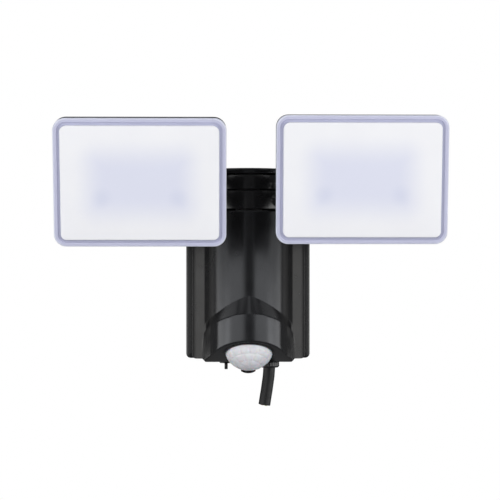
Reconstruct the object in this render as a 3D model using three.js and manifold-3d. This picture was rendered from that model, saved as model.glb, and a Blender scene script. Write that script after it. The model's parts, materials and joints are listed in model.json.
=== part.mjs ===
// Twin-head LED floodlight with a motion sensor, for an outside wall.
// Millimetres, +Z up, +X to the right of someone facing the light, front towards -Y.
// Origin: centre of the back, on the wall.

import * as THREE from 'three';
import { mergeVertices } from 'three/addons/utils/BufferGeometryUtils.js';
import Module from 'manifold-3d';

const wasm = await Module();
wasm.setup();

// ---------------------------------------------------------------- driving dimensions
const GAP = 0.3;                       // clearance between touching pieces
const WALL = 2.6;                      // wall of the moulded shell

const REAR = { width: 94.4, height: 144.4, depth: 6, radius: 3.5, recess: 3, rim: 4.2 };
const SHELL = { halfWidth: 42.7, top: 71.1, bottom: -71.5, front: -26, corner: 3.4, edge: 1.2 };
const WING = { start: 32.5, steady: 33.7, ease: 39, slope: 0.2 };
const HUMP = { depth: 22, radius: 30.3, arcEnd: 25.5, flank: 1.85 };
const POD = {
  depth: 31.3, radius: 28.7, arcEnd: 24, flank: 1.9, bend: 28.9, bottom: -74, bottomHalf: 32, rise: 0.54,
};
const POD_FOOT = { low: 35.1, high: 30.3, reach: 29, power: 3.5 };
const SHOULDER = { apex: -23.7, slope: 0.335, curl: 0.00997, arc: -37, drop: 4, reach: 20.5, power: 2.64 };

const PIVOT = { y: -36, radius: 4.3, collar: 11, floor: 39.6, split: 54.55, lug: 67.3 };
const WASHER = { radius: 10, thickness: 0.8 };
const BARREL = { halfWidth: 24.5, back: 9.9, taper: 0.325 };
const ARM_RADIUS = 5;
const EYE = { radius: 9, halfWidth: 6, bore: 3.3 };

const HEAD = { width: 121.5, height: 91, radius: 8.75, x: 78.2, y: -74, z: 64.8 };
const HEAD_PLANES = { back: -12, band: -27.7, housingFront: -34.7, coverBack: -35, flange: -39.5, face: -42 };
const PANEL = { inset: 10.2, radius: 5.1, edge: 0.7 };
const LEFT_TILT = 11;                  // degrees, nose down, as supplied
const RIGHT_TILT = 7.8;
const SCREW_SPREAD = { x: 50, z: 36 };

const LENS = { y: -38.5, z: -67.2, radius: 17.5, height: 11.5, wall: 1.1, flange: 15.9, skirt: -1.6 };
const LENS_RING = { outer: 19.2, rim: 18.9, height: 0.8 };
const TIME_KNOB = { x: -16.8, y: -14, bottom: -80.2, turn: 90 };
const LUX_KNOB = { x: 0, y: -14, bottom: -83.3, turn: 0 };
const BLADE = { width: 11.1, thickness: 2.4, sag: 1.6 };
const KNOB = { stem: 2.9, flange: 4.9, lip: 1.1, top: -66.3, hole: 3.4 };
const GLAND = { x: 15.9, y: -17, radius: 7.5, stem: 6, mouth: -78.6 };
const PIN_HEAD = { radius: 6.9, rim: 6.2, seat: 7.3, sink: 2, height: 1.6 };
const SHELL_BOSS = { radius: 3.6, pilot: 1.6, hole: 1.9 };
const CORD_RADIUS = 4.5;
// The supply cord's middle line: up inside the body, out through the gland, then hanging.
const CORD_ROUTE = [
  [15.9, -17, -51], [15.9, -17, -54.5], [15.9, -17, -58], [15.9, -17, -61.5], [15.9, -17, -65],
  [15.9, -17, -68.5], [15.9, -17, -72], [15.9, -17, -75.5], [15.8, -17, -79], [15.6, -17, -82.5],
  [15.3, -17.1, -86], [14.8, -17.2, -89.5], [14.3, -17.4, -93], [13.8, -17.6, -96.5],
  [13.2, -17.8, -100], [12.65, -17.9, -103.5], [12.1, -18, -107],
];

// ---------------------------------------------------------------- materials
const finish = (color, roughness, metalness = 0) => () =>
  new THREE.MeshStandardMaterial({ color, roughness, metalness });
const blackPlastic = finish(0x17181a, 0.3);
const blackAluminium = finish(0x1b1c1e, 0.5, 0.4);
const opalPlastic = finish(0xf1f2fb, 0.35);
const sensorPlastic = finish(0xe9eaf0, 0.4);
const blackRubber = finish(0x141414, 0.8);
const whitePlastic = finish(0xf4f4f2, 0.5);
const circuitGreen = finish(0x1f5a35, 0.6);
const steel = finish(0xb9bcc0, 0.35, 0.9);
const ferrite = finish(0x3a3a40, 0.7);
const canBlue = finish(0x2a3f7a, 0.4);
const terminalGrey = finish(0xd5d5d0, 0.5);

// ---------------------------------------------------------------- solid helpers
function toSolid(geometry) {
  const bare = geometry.clone();
  bare.deleteAttribute('normal');
  bare.deleteAttribute('uv');
  const merged = mergeVertices(bare, 1e-4);
  const index = merged.index.array;
  const point = merged.attributes.position;
  const corner = (k) => new THREE.Vector3().fromBufferAttribute(point, k);
  const faces = [];
  let volume = 0;
  for (let i = 0; i < index.length; i += 3) {
    const [a, b, c] = [index[i], index[i + 1], index[i + 2]];
    if (a === b || b === c || c === a) continue;
    faces.push([a, b, c]);
    volume += corner(a).dot(corner(b).cross(corner(c)));
  }
  const outward = volume > 0 ? faces : faces.map(([a, b, c]) => [a, c, b]);
  return new wasm.Manifold(new wasm.Mesh({
    numProp: 3,
    vertProperties: new Float32Array(point.array),
    triVerts: new Uint32Array(outward.flat()),
  }));
}

function toGeometry(solid) {
  const mesh = solid.getMesh();
  const geometry = new THREE.BufferGeometry();
  geometry.setAttribute('position', new THREE.BufferAttribute(mesh.vertProperties, 3));
  geometry.setIndex(new THREE.BufferAttribute(mesh.triVerts, 1));
  const flat = geometry.toNonIndexed();
  flat.computeVertexNormals();
  return flat;
}

// A box given by its lowest and highest corners.
function block(low, high) {
  const size = high.map((value, k) => value - low[k]);
  const box = new THREE.BoxGeometry(...size);
  box.translate(...high.map((value, k) => (value + low[k]) / 2));
  return toSolid(box);
}

// A round bar on a line parallel to an axis, from one coordinate to another on it.
function bar(axis, centre, from, to, radius, sides = 20, endRadius = radius) {
  const tube = new THREE.CylinderGeometry(endRadius, radius, to - from, sides);
  tube.translate(0, (from + to) / 2, 0);
  if (axis === 'x') tube.rotateZ(-Math.PI / 2);
  if (axis === 'z') tube.rotateX(Math.PI / 2);
  tube.translate(...centre);
  return toSolid(tube);
}

// A turned piece: a closed profile of [radius, height] pairs around the Z axis.
function turned(profile, x, y, sides = 24) {
  const points = profile.map(([radius, height]) => new THREE.Vector2(radius, height));
  const onAxis = profile[0][0] === 0 && profile.at(-1)[0] === 0;
  if (!onAxis) points.push(points[0].clone());
  const lathe = new THREE.LatheGeometry(points, sides);
  lathe.rotateX(Math.PI / 2);
  lathe.translate(x, y, 0);
  return toSolid(lathe);
}

// Corner points of a rounded rectangle in the XZ plane.
function roundedOutline(width, height, radius, steps = 3) {
  const points = [];
  for (let corner = 0; corner < 4; corner += 1) {
    const signX = corner === 0 || corner === 3 ? 1 : -1;
    const signZ = corner < 2 ? 1 : -1;
    for (let step = 0; step <= steps; step += 1) {
      const angle = (corner + step / steps) * Math.PI / 2;
      points.push([
        signX * (width / 2 - radius) + radius * Math.cos(angle),
        signZ * (height / 2 - radius) + radius * Math.sin(angle),
      ]);
    }
  }
  return points;
}

// Joins outlines of equal length, each at its own depth, into one closed body.
function loft(sections) {
  const count = sections[0].points.length;
  const position = [];
  for (const { y, points } of sections) {
    for (const [x, z] of points) position.push(x, y, z);
  }
  const index = [];
  for (let row = 0; row + 1 < sections.length; row += 1) {
    for (let k = 0; k < count; k += 1) {
      const a = row * count + k;
      const b = row * count + (k + 1) % count;
      index.push(a, a + count, b, b, a + count, b + count);
    }
  }
  const last = (sections.length - 1) * count;
  for (let k = 1; k + 1 < count; k += 1) {
    index.push(0, k, k + 1, last, last + k + 1, last + k);
  }
  const geometry = new THREE.BufferGeometry();
  geometry.setAttribute('position', new THREE.Float32BufferAttribute(position, 3));
  geometry.setIndex(index);
  return toSolid(geometry);
}

// A rounded slab between two depths, around a point of the XZ plane.
function slab(width, height, radius, front, back, x = 0, z = 0, steps = 3) {
  const points = roundedOutline(width, height, radius, steps);
  return loft([{ y: back, points }, { y: front, points }]).translate(x, 0, z);
}

// A bar bent along a curve, with a round section.
function bentBar(curve, radius, sides, steps) {
  const section = new THREE.Shape();
  for (let k = 0; k < sides; k += 1) {
    const angle = k * 2 * Math.PI / sides;
    const point = [radius * Math.cos(angle), radius * Math.sin(angle)];
    if (k === 0) section.moveTo(...point);
    else section.lineTo(...point);
  }
  section.closePath();
  return toSolid(new THREE.ExtrudeGeometry(section, { steps, extrudePath: curve, bevelEnabled: false }));
}

const smoothCurve = (points) =>
  new THREE.CatmullRomCurve3(points.map((point) => new THREE.Vector3(...point)));

const subtractAll = (solid, cutters) => cutters.reduce((left, cutter) => left.subtract(cutter), solid);
const addAll = (solid, extras) => extras.reduce((sum, extra) => sum.add(extra), solid);

function piece(parent, name, solid, material) {
  const mesh = new THREE.Mesh(toGeometry(solid), material());
  mesh.name = name;
  parent.add(mesh);
  return mesh;
}

// ---------------------------------------------------------------- front shell
// How far the front stands ahead of the wings, hump above and pod below.
function onArc(x, { depth, radius, arcEnd }) {
  const reach = Math.min(Math.abs(x), arcEnd);
  return depth - radius + Math.sqrt(radius ** 2 - reach ** 2);
}

function humpDepth(x) {
  const beyond = Math.max(Math.abs(x) - HUMP.arcEnd, 0);
  return Math.max(onArc(x, HUMP) - HUMP.flank * beyond, 0);
}

// Where the pod's flank meets the wing, from the bottom of the body up.
function podFoot(z) {
  const { low, high, reach, power } = POD_FOOT;
  const rise = Math.min(Math.max((z - POD.bottom) / reach, 0), 1);
  return low - (low - high) * rise ** power;
}

function podDepth(x, z) {
  const beyond = Math.min(Math.max(Math.abs(x) - POD.arcEnd, 0), POD.bend - POD.arcEnd);
  const flank = onArc(x, POD) - POD.flank * beyond;
  const share = (Math.abs(x) - POD.bend) / (podFoot(z) - POD.bend);
  return flank * (1 - Math.min(Math.max(share, 0), 1));
}

// How far the wings fall back: flat beside the hump, sloping outwards, flat again at the edge.
function wingFall(x) {
  const { start, steady, ease, slope } = WING;
  const over = (from, to) => Math.min(Math.max(Math.abs(x) - from, 0), to - from);
  const enter = slope * over(start, steady) ** 2 / (2 * (steady - start));
  const middle = slope * over(steady, ease);
  const span = SHELL.halfWidth - ease;
  const leave = slope * (over(ease, SHELL.halfWidth) - over(ease, SHELL.halfWidth) ** 2 / (2 * span));
  return enter + middle + leave;
}

const chevron = (x) => SHOULDER.apex - SHOULDER.slope * Math.abs(x) - SHOULDER.curl * x ** 2;
const shoulderArc = (x) => SHOULDER.arc - SHOULDER.drop * (Math.abs(x) / SHOULDER.reach) ** SHOULDER.power;

function frontDepth(x, z) {
  const t = Math.min(Math.max((chevron(x) - z) / (chevron(x) - shoulderArc(x)), 0), 1);
  return (1 - t) * humpDepth(x) + t * podDepth(x, z) - wingFall(x);
}

// How far a rounded corner pulls the outline in at a distance from the middle.
function cornerPull(x) {
  const over = Math.max(Math.abs(x) - (SHELL.halfWidth - SHELL.corner), 0);
  return SHELL.corner - Math.sqrt(Math.max(SHELL.corner ** 2 - over ** 2, 0));
}

function shellBottom(x) {
  const t = Math.min(Math.max((Math.abs(x) - POD.bottomHalf) / 3, 0), 1);
  return POD.bottom + (SHELL.bottom - POD.bottom) * t ** 2 * (3 - 2 * t) + cornerPull(x);
}

const shellTop = (x) => SHELL.top - cornerPull(x);

// Heights of the rows of points at one place across the front, from the bottom up.
function rowHeights(x, inset) {
  const low = shellBottom(x) + inset;
  const high = shellTop(x) - inset;
  const arc = Math.max(shoulderArc(x), low + 6);
  const crease = Math.max(chevron(x), arc + 4);
  const edge = inset > 0 ? [] : [SHELL.edge];
  const belowArc = [0.35, 0.7, 1].map((t) => low + SHELL.edge + (arc - low - SHELL.edge) * t);
  const onShoulder = [0.33, 0.67, 1].map((t) => arc + (crease - arc) * t);
  return [low, ...edge.map((e) => low + e), ...belowArc, ...onShoulder, high - SHELL.edge, high];
}

// A closed body with a shaped front, flat sides and a flat back.
function shapedFront(columns, rowsAt, depthAt, back) {
  const grid = columns.map((x) => rowsAt(x).map((z) => [x, SHELL.front - depthAt(x, z), z]));
  const rows = grid[0].length;
  const position = grid.flat(2);
  const at = (column, row) => column * rows + row;
  const index = [];
  for (let c = 0; c + 1 < columns.length; c += 1) {
    for (let r = 0; r + 1 < rows; r += 1) {
      index.push(at(c, r), at(c + 1, r), at(c + 1, r + 1), at(c, r), at(c + 1, r + 1), at(c, r + 1));
    }
  }
  const rim = [];
  for (let c = 0; c < columns.length; c += 1) rim.push(at(c, 0));
  for (let r = 1; r < rows; r += 1) rim.push(at(columns.length - 1, r));
  for (let c = columns.length - 2; c >= 0; c -= 1) rim.push(at(c, rows - 1));
  for (let r = rows - 2; r > 0; r -= 1) rim.push(at(0, r));
  const first = position.length / 3;
  for (const k of rim) position.push(position[3 * k], back, position[3 * k + 2]);
  const centre = position.length / 3;
  position.push(0, back, 0);
  for (let k = 0; k < rim.length; k += 1) {
    const next = (k + 1) % rim.length;
    index.push(rim[k], first + k, rim[next], rim[next], first + k, first + next);
    index.push(first + next, first + k, centre);
  }
  const geometry = new THREE.BufferGeometry();
  geometry.setAttribute('position', new THREE.Float32BufferAttribute(position, 3));
  geometry.setIndex(index);
  return toSolid(geometry);
}

const mirrored = (half) => [...half.slice(1).reverse().map((x) => -x), ...half];

// Everything below the sloping underside that carries the sensor, moved inwards by an inset.
function belowUnderside(inset) {
  const reach = 120;
  const box = new THREE.BoxGeometry(reach, reach, reach);
  box.translate(0, 0, -reach / 2 + inset);
  box.rotateX(-Math.atan(POD.rise));
  box.translate(0, SHELL.front, POD.bottom);
  return toSolid(box).intersect(block([-reach, -reach, -reach], [reach, SHELL.front + inset, reach]));
}

// Turns a shape made around +Z so that it looks out of the sloping underside.
function atLens(solid) {
  const tilt = THREE.MathUtils.radToDeg(Math.atan(POD.rise));
  return solid.rotate([180 - tilt, 0, 0]).translate([0, LENS.y, LENS.z]);
}

const BOSSES = [[-31, 59], [31, 59], [-31, -58], [31, -58]];

function bodyShell() {
  const outerColumns = mirrored([0, 6, 12, 17, 21, 24, 25.5, 27.2, 28.9, 29.9, 32.5, 34, 36, 39, 41.5, 42.7]);
  const edgeDrop = (x, z) => {
    const toEdge = Math.min(SHELL.halfWidth - Math.abs(x), z - shellBottom(x), shellTop(x) - z);
    return SHELL.edge * Math.max(1 - toEdge / SHELL.edge, 0);
  };
  const outer = shapedFront(
    outerColumns,
    (x) => rowHeights(x, 0),
    (x, z) => frontDepth(x, z) - edgeDrop(x, z),
    -REAR.depth - GAP,
  );
  const innerColumns = mirrored([0, 9, 17, 22, 24, 28, 34, SHELL.halfWidth - WALL]);
  const inner = shapedFront(
    innerColumns,
    (x) => rowHeights(Math.min(Math.abs(x), 38) * Math.sign(x), WALL),
    (x, z) => Math.min(frontDepth(Math.abs(x) + 2, z + 2), frontDepth(Math.abs(x) + 2, z - 2)) - WALL,
    -REAR.depth + 2,
  );
  const notch = block([-60, -80, PIVOT.floor], [60, SHELL.front, PIVOT.lug])
    .add(bar('z', [0, PIVOT.y, 0], PIVOT.floor, PIVOT.lug, PIVOT.collar + 0.6, 20));
  const behindNotch = block([-60, -80, PIVOT.floor - WALL], [60, PIVOT.y + PIVOT.collar + 0.6 + WALL, 80]);
  const hollow = inner.subtract(behindNotch).subtract(belowUnderside(WALL));
  const lensBoss = atLens(bar('z', [0, 0, 0], -3.2, 0, LENS.radius + 1.9, 24));
  const bossBack = -REAR.depth - GAP;
  const bosses = BOSSES.map(([x, z]) => bar('y', [x, 0, z], SHELL.front + 1, bossBack, SHELL_BOSS.radius, 8));
  const pilots = BOSSES.map(([x, z]) => bar('y', [x, 0, z], -21, -REAR.depth + 1, SHELL_BOSS.pilot, 8));
  const knobHoles = [TIME_KNOB, LUX_KNOB].map((k) => bar('z', [k.x, k.y, 0], -76, -69, KNOB.hole, 12));
  const body = addAll(outer.subtract(belowUnderside(0)).subtract(hollow), [lensBoss, ...bosses]);
  return subtractAll(body, [
    notch,
    bar('z', [0, PIVOT.y, 0], 30, 80, PIVOT.radius + GAP, 16),
    bar('z', [0, PIVOT.y, 0], SHELL.top - PIN_HEAD.sink, 80, PIN_HEAD.seat, 16),
    atLens(bar('z', [0, 0, 0], -14, 4, LENS.radius - 1.5, 20)),
    atLens(bar('z', [0, 0, 0], -2, 4, LENS.radius + GAP, 24)),
    bar('z', [GLAND.x, GLAND.y, 0], -80, -69, GLAND.stem + GAP, 16),
    ...knobHoles,
    ...pilots,
  ]);
}

// ---------------------------------------------------------------- back of the body
const CLAMP = { z: -58, front: -21.5, posts: [8, 24] };
const HOOK = { halfWidth: 8, z: 60 };
const RIM_CENTRE = -0.2;               // middle of the rim where shell and cover meet

function rearCover() {
  const { width, height, radius, depth, recess, rim } = REAR;
  const tray = slab(width, height, radius, -depth, 0);
  const recessCut = slab(width - 2 * rim, height - 2 * rim, 2.5, -recess, 1);
  const lip = slab(75, 132.3, 4, -8.2, -depth, 0, RIM_CENTRE)
    .subtract(slab(71, 128.3, 3, -9, -depth + 1, 0, RIM_CENTRE));
  const hookPocket = block([-11, -9, 57], [11, -depth, 64.5]);
  const posts = CLAMP.posts.map((x) => bar('y', [x, 0, CLAMP.z], CLAMP.front, -depth + 1, 2.7, 10));
  const boardPosts = [[-25, -38], [25, -38], [-25, 30], [25, 30]]
    .map(([x, z]) => bar('y', [x, 0, z], -11.7, -depth + 1, 2.5, 8));
  const solid = addAll(tray.subtract(recessCut), [lip, hookPocket, ...posts, ...boardPosts]);
  return subtractAll(solid, [
    block([-HOOK.halfWidth - 0.4, -7, HOOK.z - 0.8], [HOOK.halfWidth + 0.4, -1, HOOK.z + 2.3]),
    bar('z', [0, -3, 0], -75, -60, 2, 12),
    ...BOSSES.map(([x, z]) => bar('y', [x, 0, z], -10, 0, SHELL_BOSS.hole, 8)),
    ...CLAMP.posts.map((x) => bar('y', [x, 0, CLAMP.z], -23, -12, 1.2, 8)),
  ]);
}

function wallBracket() {
  const thickness = 1.5;
  const plate = slab(56, 126, 6, -thickness, 0);
  const hook = block([-HOOK.halfWidth, -6.6, HOOK.z], [HOOK.halfWidth, -0.2, HOOK.z + thickness]);
  const foot = block([-8, -5.6, -65], [8, -0.2, -63]).subtract(bar('z', [0, -3, 0], -70, -60, 1.8, 12));
  const screwHoles = [-45, 45].map((z) => bar('y', [0, 0, z], -5, 5, 2.6, 16));
  const cableHole = slab(20, 20, 6, -5, 5, 0, -22);
  const recessLimit = block([-40, GAP - REAR.recess, -67], [40, 0, 67]);
  const flatPart = subtractAll(plate, [...screwHoles, cableHole]);
  return addAll(flatPart, [hook, foot.intersect(recessLimit)]);
}

// A screw along Y with its head at the back: head face, tip, and the radii.
function screwAlongY(x, z, headBack, headFront, tip, headRadius, shankRadius) {
  const head = bar('y', [x, 0, z], headFront, headBack, headRadius, 12);
  const shank = bar('y', [x, 0, z], tip, headFront + 0.1, shankRadius, 8);
  return head.add(shank);
}

// ---------------------------------------------------------------- electronics
function driverBoard(parent) {
  const face = -13.6;
  piece(parent, 'driver_board', block([-29, face, -42], [29, face + 1.6, 34]), circuitGreen);
  const core = addAll(block([-21, face - 18, 6], [3, face - GAP, 26]), [
    block([-18, face - 21, 10], [0, face - 3, 22]),
  ]);
  piece(parent, 'transformer', core, ferrite);
  piece(parent, 'capacitor', bar('y', [-14, 0, -14], face - 20, face - GAP, 7, 18), canBlue);
  piece(parent, 'relay', block([2, face - 15, -18], [17, face - GAP, 1]), whitePlastic);
  const terminals = block([3, face - 11, -40], [27, face - GAP, -30]);
  const ports = [7, 15, 23].map((x) => block([x - 2, face - 8, -41], [x + 2, face - 3, -34]));
  piece(parent, 'terminal_block', subtractAll(terminals, ports), terminalGrey);
}

function controls(parent) {
  piece(parent, 'control_board', block([-23, -19.8, -59.7], [4.9, -8.6, -58.3]), circuitGreen);
  for (const [name, knob] of [['time', TIME_KNOB], ['lux', LUX_KNOB]]) {
    const pot = block([knob.x - 4.7, knob.y - 4.7, -66], [knob.x + 4.7, knob.y + 4.7, -60]);
    piece(parent, `${name}_pot`, pot, whitePlastic);
    piece(parent, `${name}_knob`, bladeKnob(knob), blackPlastic);
  }
}

// A knob under the body: a round stem, a flange and a finger blade with a curved end.
function bladeKnob({ x, y, bottom, turn }) {
  const flangeTop = POD.bottom - GAP;
  const flangeBottom = flangeTop - KNOB.lip;
  const { stem, flange, top } = KNOB;
  const profile = [
    [0, top], [stem, top], [stem, flangeTop], [flange, flangeTop], [flange, flangeBottom], [0, flangeBottom],
  ];
  const drop = flangeTop - bottom;
  const { sag } = BLADE;
  const arcRadius = ((BLADE.width / 2) ** 2 + sag ** 2) / (2 * sag);
  const face = bar('y', [0, 0, bottom + arcRadius], -BLADE.thickness / 2, BLADE.thickness / 2, arcRadius, 48);
  const limits = block([-BLADE.width / 2, -3, bottom - 1], [BLADE.width / 2, 3, bottom + drop - 0.2]);
  const blade = face.intersect(limits).rotate([0, 0, turn]).translate([x, y, 0]);
  return turned(profile, x, y, 12).add(blade);
}

function sensor(parent) {
  const board = block([-12, -5.5, -12], [12, 11, -10.8]);
  piece(parent, 'sensor_board', atLens(board), circuitGreen);
  const can = bar('z', [0, 0, 0], -10.5, -6.3, 4.6, 16).subtract(block([-2, -1.5, -6.7], [2, 1.5, -6]));
  piece(parent, 'pir_sensor', atLens(can), steel);
  piece(parent, 'pir_lens', atLens(sensorLens()), sensorPlastic);
  const inside = LENS.radius + GAP;
  const { outer, rim, height } = LENS_RING;
  const profile = [[inside, GAP], [outer, GAP], [outer, height - 0.2], [rim, height], [inside, height]];
  const ring = turned(profile, 0, 0, 24);
  piece(parent, 'lens_ring', atLens(ring), blackPlastic);
}

function sensorLens() {
  const { radius, height, wall } = LENS;
  const sphere = (radius ** 2 + height ** 2) / (2 * height);
  const centre = height - sphere;
  const arc = (r, steps, reach) => {
    const points = [];
    for (let k = 0; k <= steps; k += 1) {
      const angle = reach * (1 - k / steps);
      points.push([r * Math.sin(angle), centre + r * Math.cos(angle)]);
    }
    points.at(-1)[0] = 0;
    return points;
  };
  const outer = arc(sphere, 5, Math.acos(-centre / sphere));
  const inner = arc(sphere - wall, 4, Math.acos(-centre / (sphere - wall))).reverse();
  return turned([...inner, [LENS.flange, LENS.skirt], [radius, LENS.skirt], ...outer], 0, 0, 20);
}

// ---------------------------------------------------------------- supply cord
function supply(parent) {
  const { x, y, radius, stem, mouth } = GLAND;
  const shoulder = POD.bottom - GAP;
  const gland = [[4.8, -66.5], [stem, -66.5], [stem, shoulder], [radius, shoulder], [radius, mouth + 0.8],
    [radius - 0.8, mouth], [6.2, mouth], [6.2, -76], [4.8, -76]];
  piece(parent, 'gland_body', turned(gland, x, y, 18), blackPlastic);
  const nutHole = bar('z', [x, y, 0], -72, -66, stem + GAP, 18);
  const hex = bar('z', [x, y, 0], -71.1, -67.2, 7.6, 6).subtract(nutHole);
  piece(parent, 'gland_nut', hex, blackPlastic);
  const seal = [[4.8, mouth + GAP], [5.9, mouth + GAP], [5.9, -76.3], [4.8, -76.3]];
  piece(parent, 'gland_seal', turned(seal, x, y, 16), blackRubber);
  const saddle = block([5, -24.6, CLAMP.z - 3.5], [27, CLAMP.front - GAP, CLAMP.z + 3.5]);
  const saddleHoles = CLAMP.posts.map((px) => bar('y', [px, 0, CLAMP.z], -26, -20, 1.5, 10));
  piece(parent, 'cord_clamp', subtractAll(saddle, saddleHoles), blackPlastic);
  CLAMP.posts.forEach((px, k) => {
    const head = bar('y', [px, 0, CLAMP.z], -26.6, -24.9, 2.4, 12);
    const shank = bar('y', [px, 0, CLAMP.z], -25, -14, 0.9, 8);
    piece(parent, `clamp_screw_${k + 1}`, head.add(shank), steel);
  });
  piece(parent, 'supply_cord', bentBar(smoothCurve(CORD_ROUTE), CORD_RADIUS, 12, 8), blackRubber);
}

// ---------------------------------------------------------------- arms on their common pin
function swivelStack(parent) {
  const { y, radius, floor } = PIVOT;
  const seat = SHELL.top - PIN_HEAD.sink + GAP;
  const face = seat + PIN_HEAD.height;
  const tip = floor - 11.6;
  const profile = [
    [0, tip], [radius, tip], [radius, seat], [PIN_HEAD.radius, seat],
    [PIN_HEAD.radius, face - 0.4], [PIN_HEAD.rim, face], [0, face],
  ];
  const slot = block([-5, y - 0.6, SHELL.top - 0.9], [5, y + 0.6, SHELL.top + 1]);
  piece(parent, 'pivot_pin', turned(profile, 0, y, 16).subtract(slot), steel);
  const under = floor - WALL - GAP;
  const nut = bar('z', [0, y, 0], under - 5, under, 7.5, 6)
    .subtract(bar('z', [0, y, 0], 0, 50, radius + GAP, 12));
  piece(parent, 'pivot_nut', nut, steel);
  const bottoms = { lower: floor + GAP, middle: PIVOT.split, upper: PIVOT.lug - GAP - WASHER.thickness };
  for (const [name, low] of Object.entries(bottoms)) {
    const ring = bar('z', [0, y, 0], low, low + WASHER.thickness, WASHER.radius, 20)
      .subtract(bar('z', [0, y, 0], low - 1, low + 2, radius + GAP, 12));
    piece(parent, `washer_${name}`, ring, blackRubber);
  }
}

// An arm's barrel seen from above: flush with the hump in front, cut back behind so that it can swing.
function barrel(low, high) {
  const { halfWidth, back, taper } = BARREL;
  const steps = 16;
  const outline = new THREE.Shape();
  outline.moveTo(0, PIVOT.y + back);
  for (let k = 0; k <= steps; k += 1) {
    const x = halfWidth * (2 * k / steps - 1);
    if (k === 0) outline.lineTo(x, PIVOT.y + back - taper * halfWidth);
    outline.lineTo(x, SHELL.front - humpDepth(x));
    if (k === steps) outline.lineTo(x, PIVOT.y + back - taper * halfWidth);
  }
  outline.closePath();
  const body = new THREE.ExtrudeGeometry(outline, { depth: high - low, bevelEnabled: false });
  body.translate(0, 0, low);
  return toSolid(body);
}

// An arm: barrel and hub on the pin, a bent bar and the eye that carries the head.
function arm(side, below, above) {
  const low = below + WASHER.thickness + GAP;
  const high = above - GAP;
  const middle = (low + high) / 2;
  const { x, y, z } = HEAD;
  const route = smoothCurve([
    [side * 6, PIVOT.y - 1.5, middle],
    [side * 18, PIVOT.y - 2.5, middle],
    [side * 33, PIVOT.y - 9, middle + (z - middle) * 0.15],
    [side * 54, PIVOT.y - 13.5, middle + (z - middle) * 0.72],
    [side * (x - 6.5), y + 20, z - 0.6],
    [side * (x - 0.8), y + 11.5, z],
    [side * x, y, z],
  ]);
  const eye = bar('x', [side * x, y, z], -EYE.halfWidth, EYE.halfWidth, EYE.radius, 20);
  const hub = bar('z', [0, PIVOT.y, 0], low, high, PIVOT.collar, 24);
  const eyeLow = side * x - EYE.halfWidth;
  const eyeHigh = side * x + EYE.halfWidth;
  const between = block([eyeLow, y - 12, z - 12], [eyeHigh, y + 7, z + 12]);
  const beyond = block([-200, y + 7, -200], [200, 100, 200]);
  const stem = bentBar(route, ARM_RADIUS, 10, 12).intersect(between.add(beyond));
  return subtractAll(addAll(barrel(low, high), [hub, stem, eye]), [
    bar('z', [0, PIVOT.y, 0], low - 1, high + 1, PIVOT.radius + GAP, 16),
    bar('x', [side * x, y, z], -10, 10, EYE.bore, 12),
  ]);
}

// ---------------------------------------------------------------- lamp heads
const FIN_GROOVES = [-40, -32, -24, -16, 16, 24, 32, 40];
const EAR = { inner: EYE.halfWidth + 0.4, thickness: 4 };
const POCKET = { width: 104, height: 74, radius: 14, floor: -25.7 };

const corners = [[-1, 1], [1, 1], [-1, -1], [1, -1]]
  .map(([sx, sz]) => [sx * SCREW_SPREAD.x, sz * SCREW_SPREAD.z]);

function headHousing() {
  const { back, band, housingFront } = HEAD_PLANES;
  const section = (y, inset, radius) => ({
    y,
    points: roundedOutline(HEAD.width - inset, HEAD.height - inset, radius),
  });
  const outside = loft([
    section(back - 1, 33, 6), section(band + 5, 13, 7),
    section(band, 0.2, 8.6), section(housingFront, 0.2, 8.6),
  ]);
  const ears = [-1, 1].map((side) => {
    const from = side > 0 ? EAR.inner : -EAR.inner - EAR.thickness;
    const round = bar('x', [0, 0, 0], from, from + EAR.thickness, EYE.radius, 16);
    const root = block([from, back - 3, -EYE.radius], [from + EAR.thickness, 0, EYE.radius]);
    return round.add(root);
  });
  const pocket = slab(POCKET.width, POCKET.height, POCKET.radius, housingFront - 1, POCKET.floor);
  const groove = slab(116.6, 86.6, 6.5, housingFront - 1, housingFront + 1.9)
    .subtract(slab(111.4, 81.4, 4, housingFront - 2, housingFront + 3));
  return subtractAll(addAll(outside, ears), [
    pocket,
    groove,
    bar('x', [0, 0, 0], -20, 20, EYE.bore, 12),
    ...FIN_GROOVES.map((x) => block([x - 2.5, -20, -60], [x + 2.5, 0, 60])),
    ...corners.map(([x, z]) => bar('y', [x, 0, z], -29.2, 0, 3.2, 10)),
    ...corners.map(([x, z]) => bar('y', [x, 0, z], -40, -20, 1.7, 8)),
  ]);
}

function lensCover() {
  const { coverBack, flange, face } = HEAD_PLANES;
  const section = (y, inset, radius) => ({
    y,
    points: roundedOutline(HEAD.width - inset, HEAD.height - inset, radius),
  });
  const skirt = loft([
    section(coverBack, 0, HEAD.radius), section(flange + 0.8, 0, HEAD.radius), section(flange, 1.6, 8),
  ]);
  const { inset, radius, edge } = PANEL;
  const panel = loft([
    section(flange + 1, inset, radius), section(face + edge, inset, radius),
    section(face, inset + 2 * edge, radius - edge),
  ]);
  const cavity = slab(106, 76, 10, face + 2, coverBack + 1);
  const bosses = corners.map(([x, z]) => bar('y', [x, 0, z], face + 1, coverBack, 3.4, 8));
  const pilots = corners.map(([x, z]) => bar('y', [x, 0, z], coverBack - 4, coverBack + 1, 1.6, 8));
  return subtractAll(addAll(skirt.add(panel).subtract(cavity), bosses), pilots);
}

function reflectorTray() {
  const section = (y, width, height, radius) => ({ y, points: roundedOutline(width, height, radius) });
  const outer = loft([section(-26.2, 80, 58, 8), section(-34.4, 103.2, 73.2, 13.6)]);
  const inner = loft([section(-27.4, 78.4, 56.4, 8), section(-36, 105, 75, 13.6)]);
  return outer.subtract(inner).subtract(slab(66, 47.5, 1, -30, -20));
}

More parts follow.
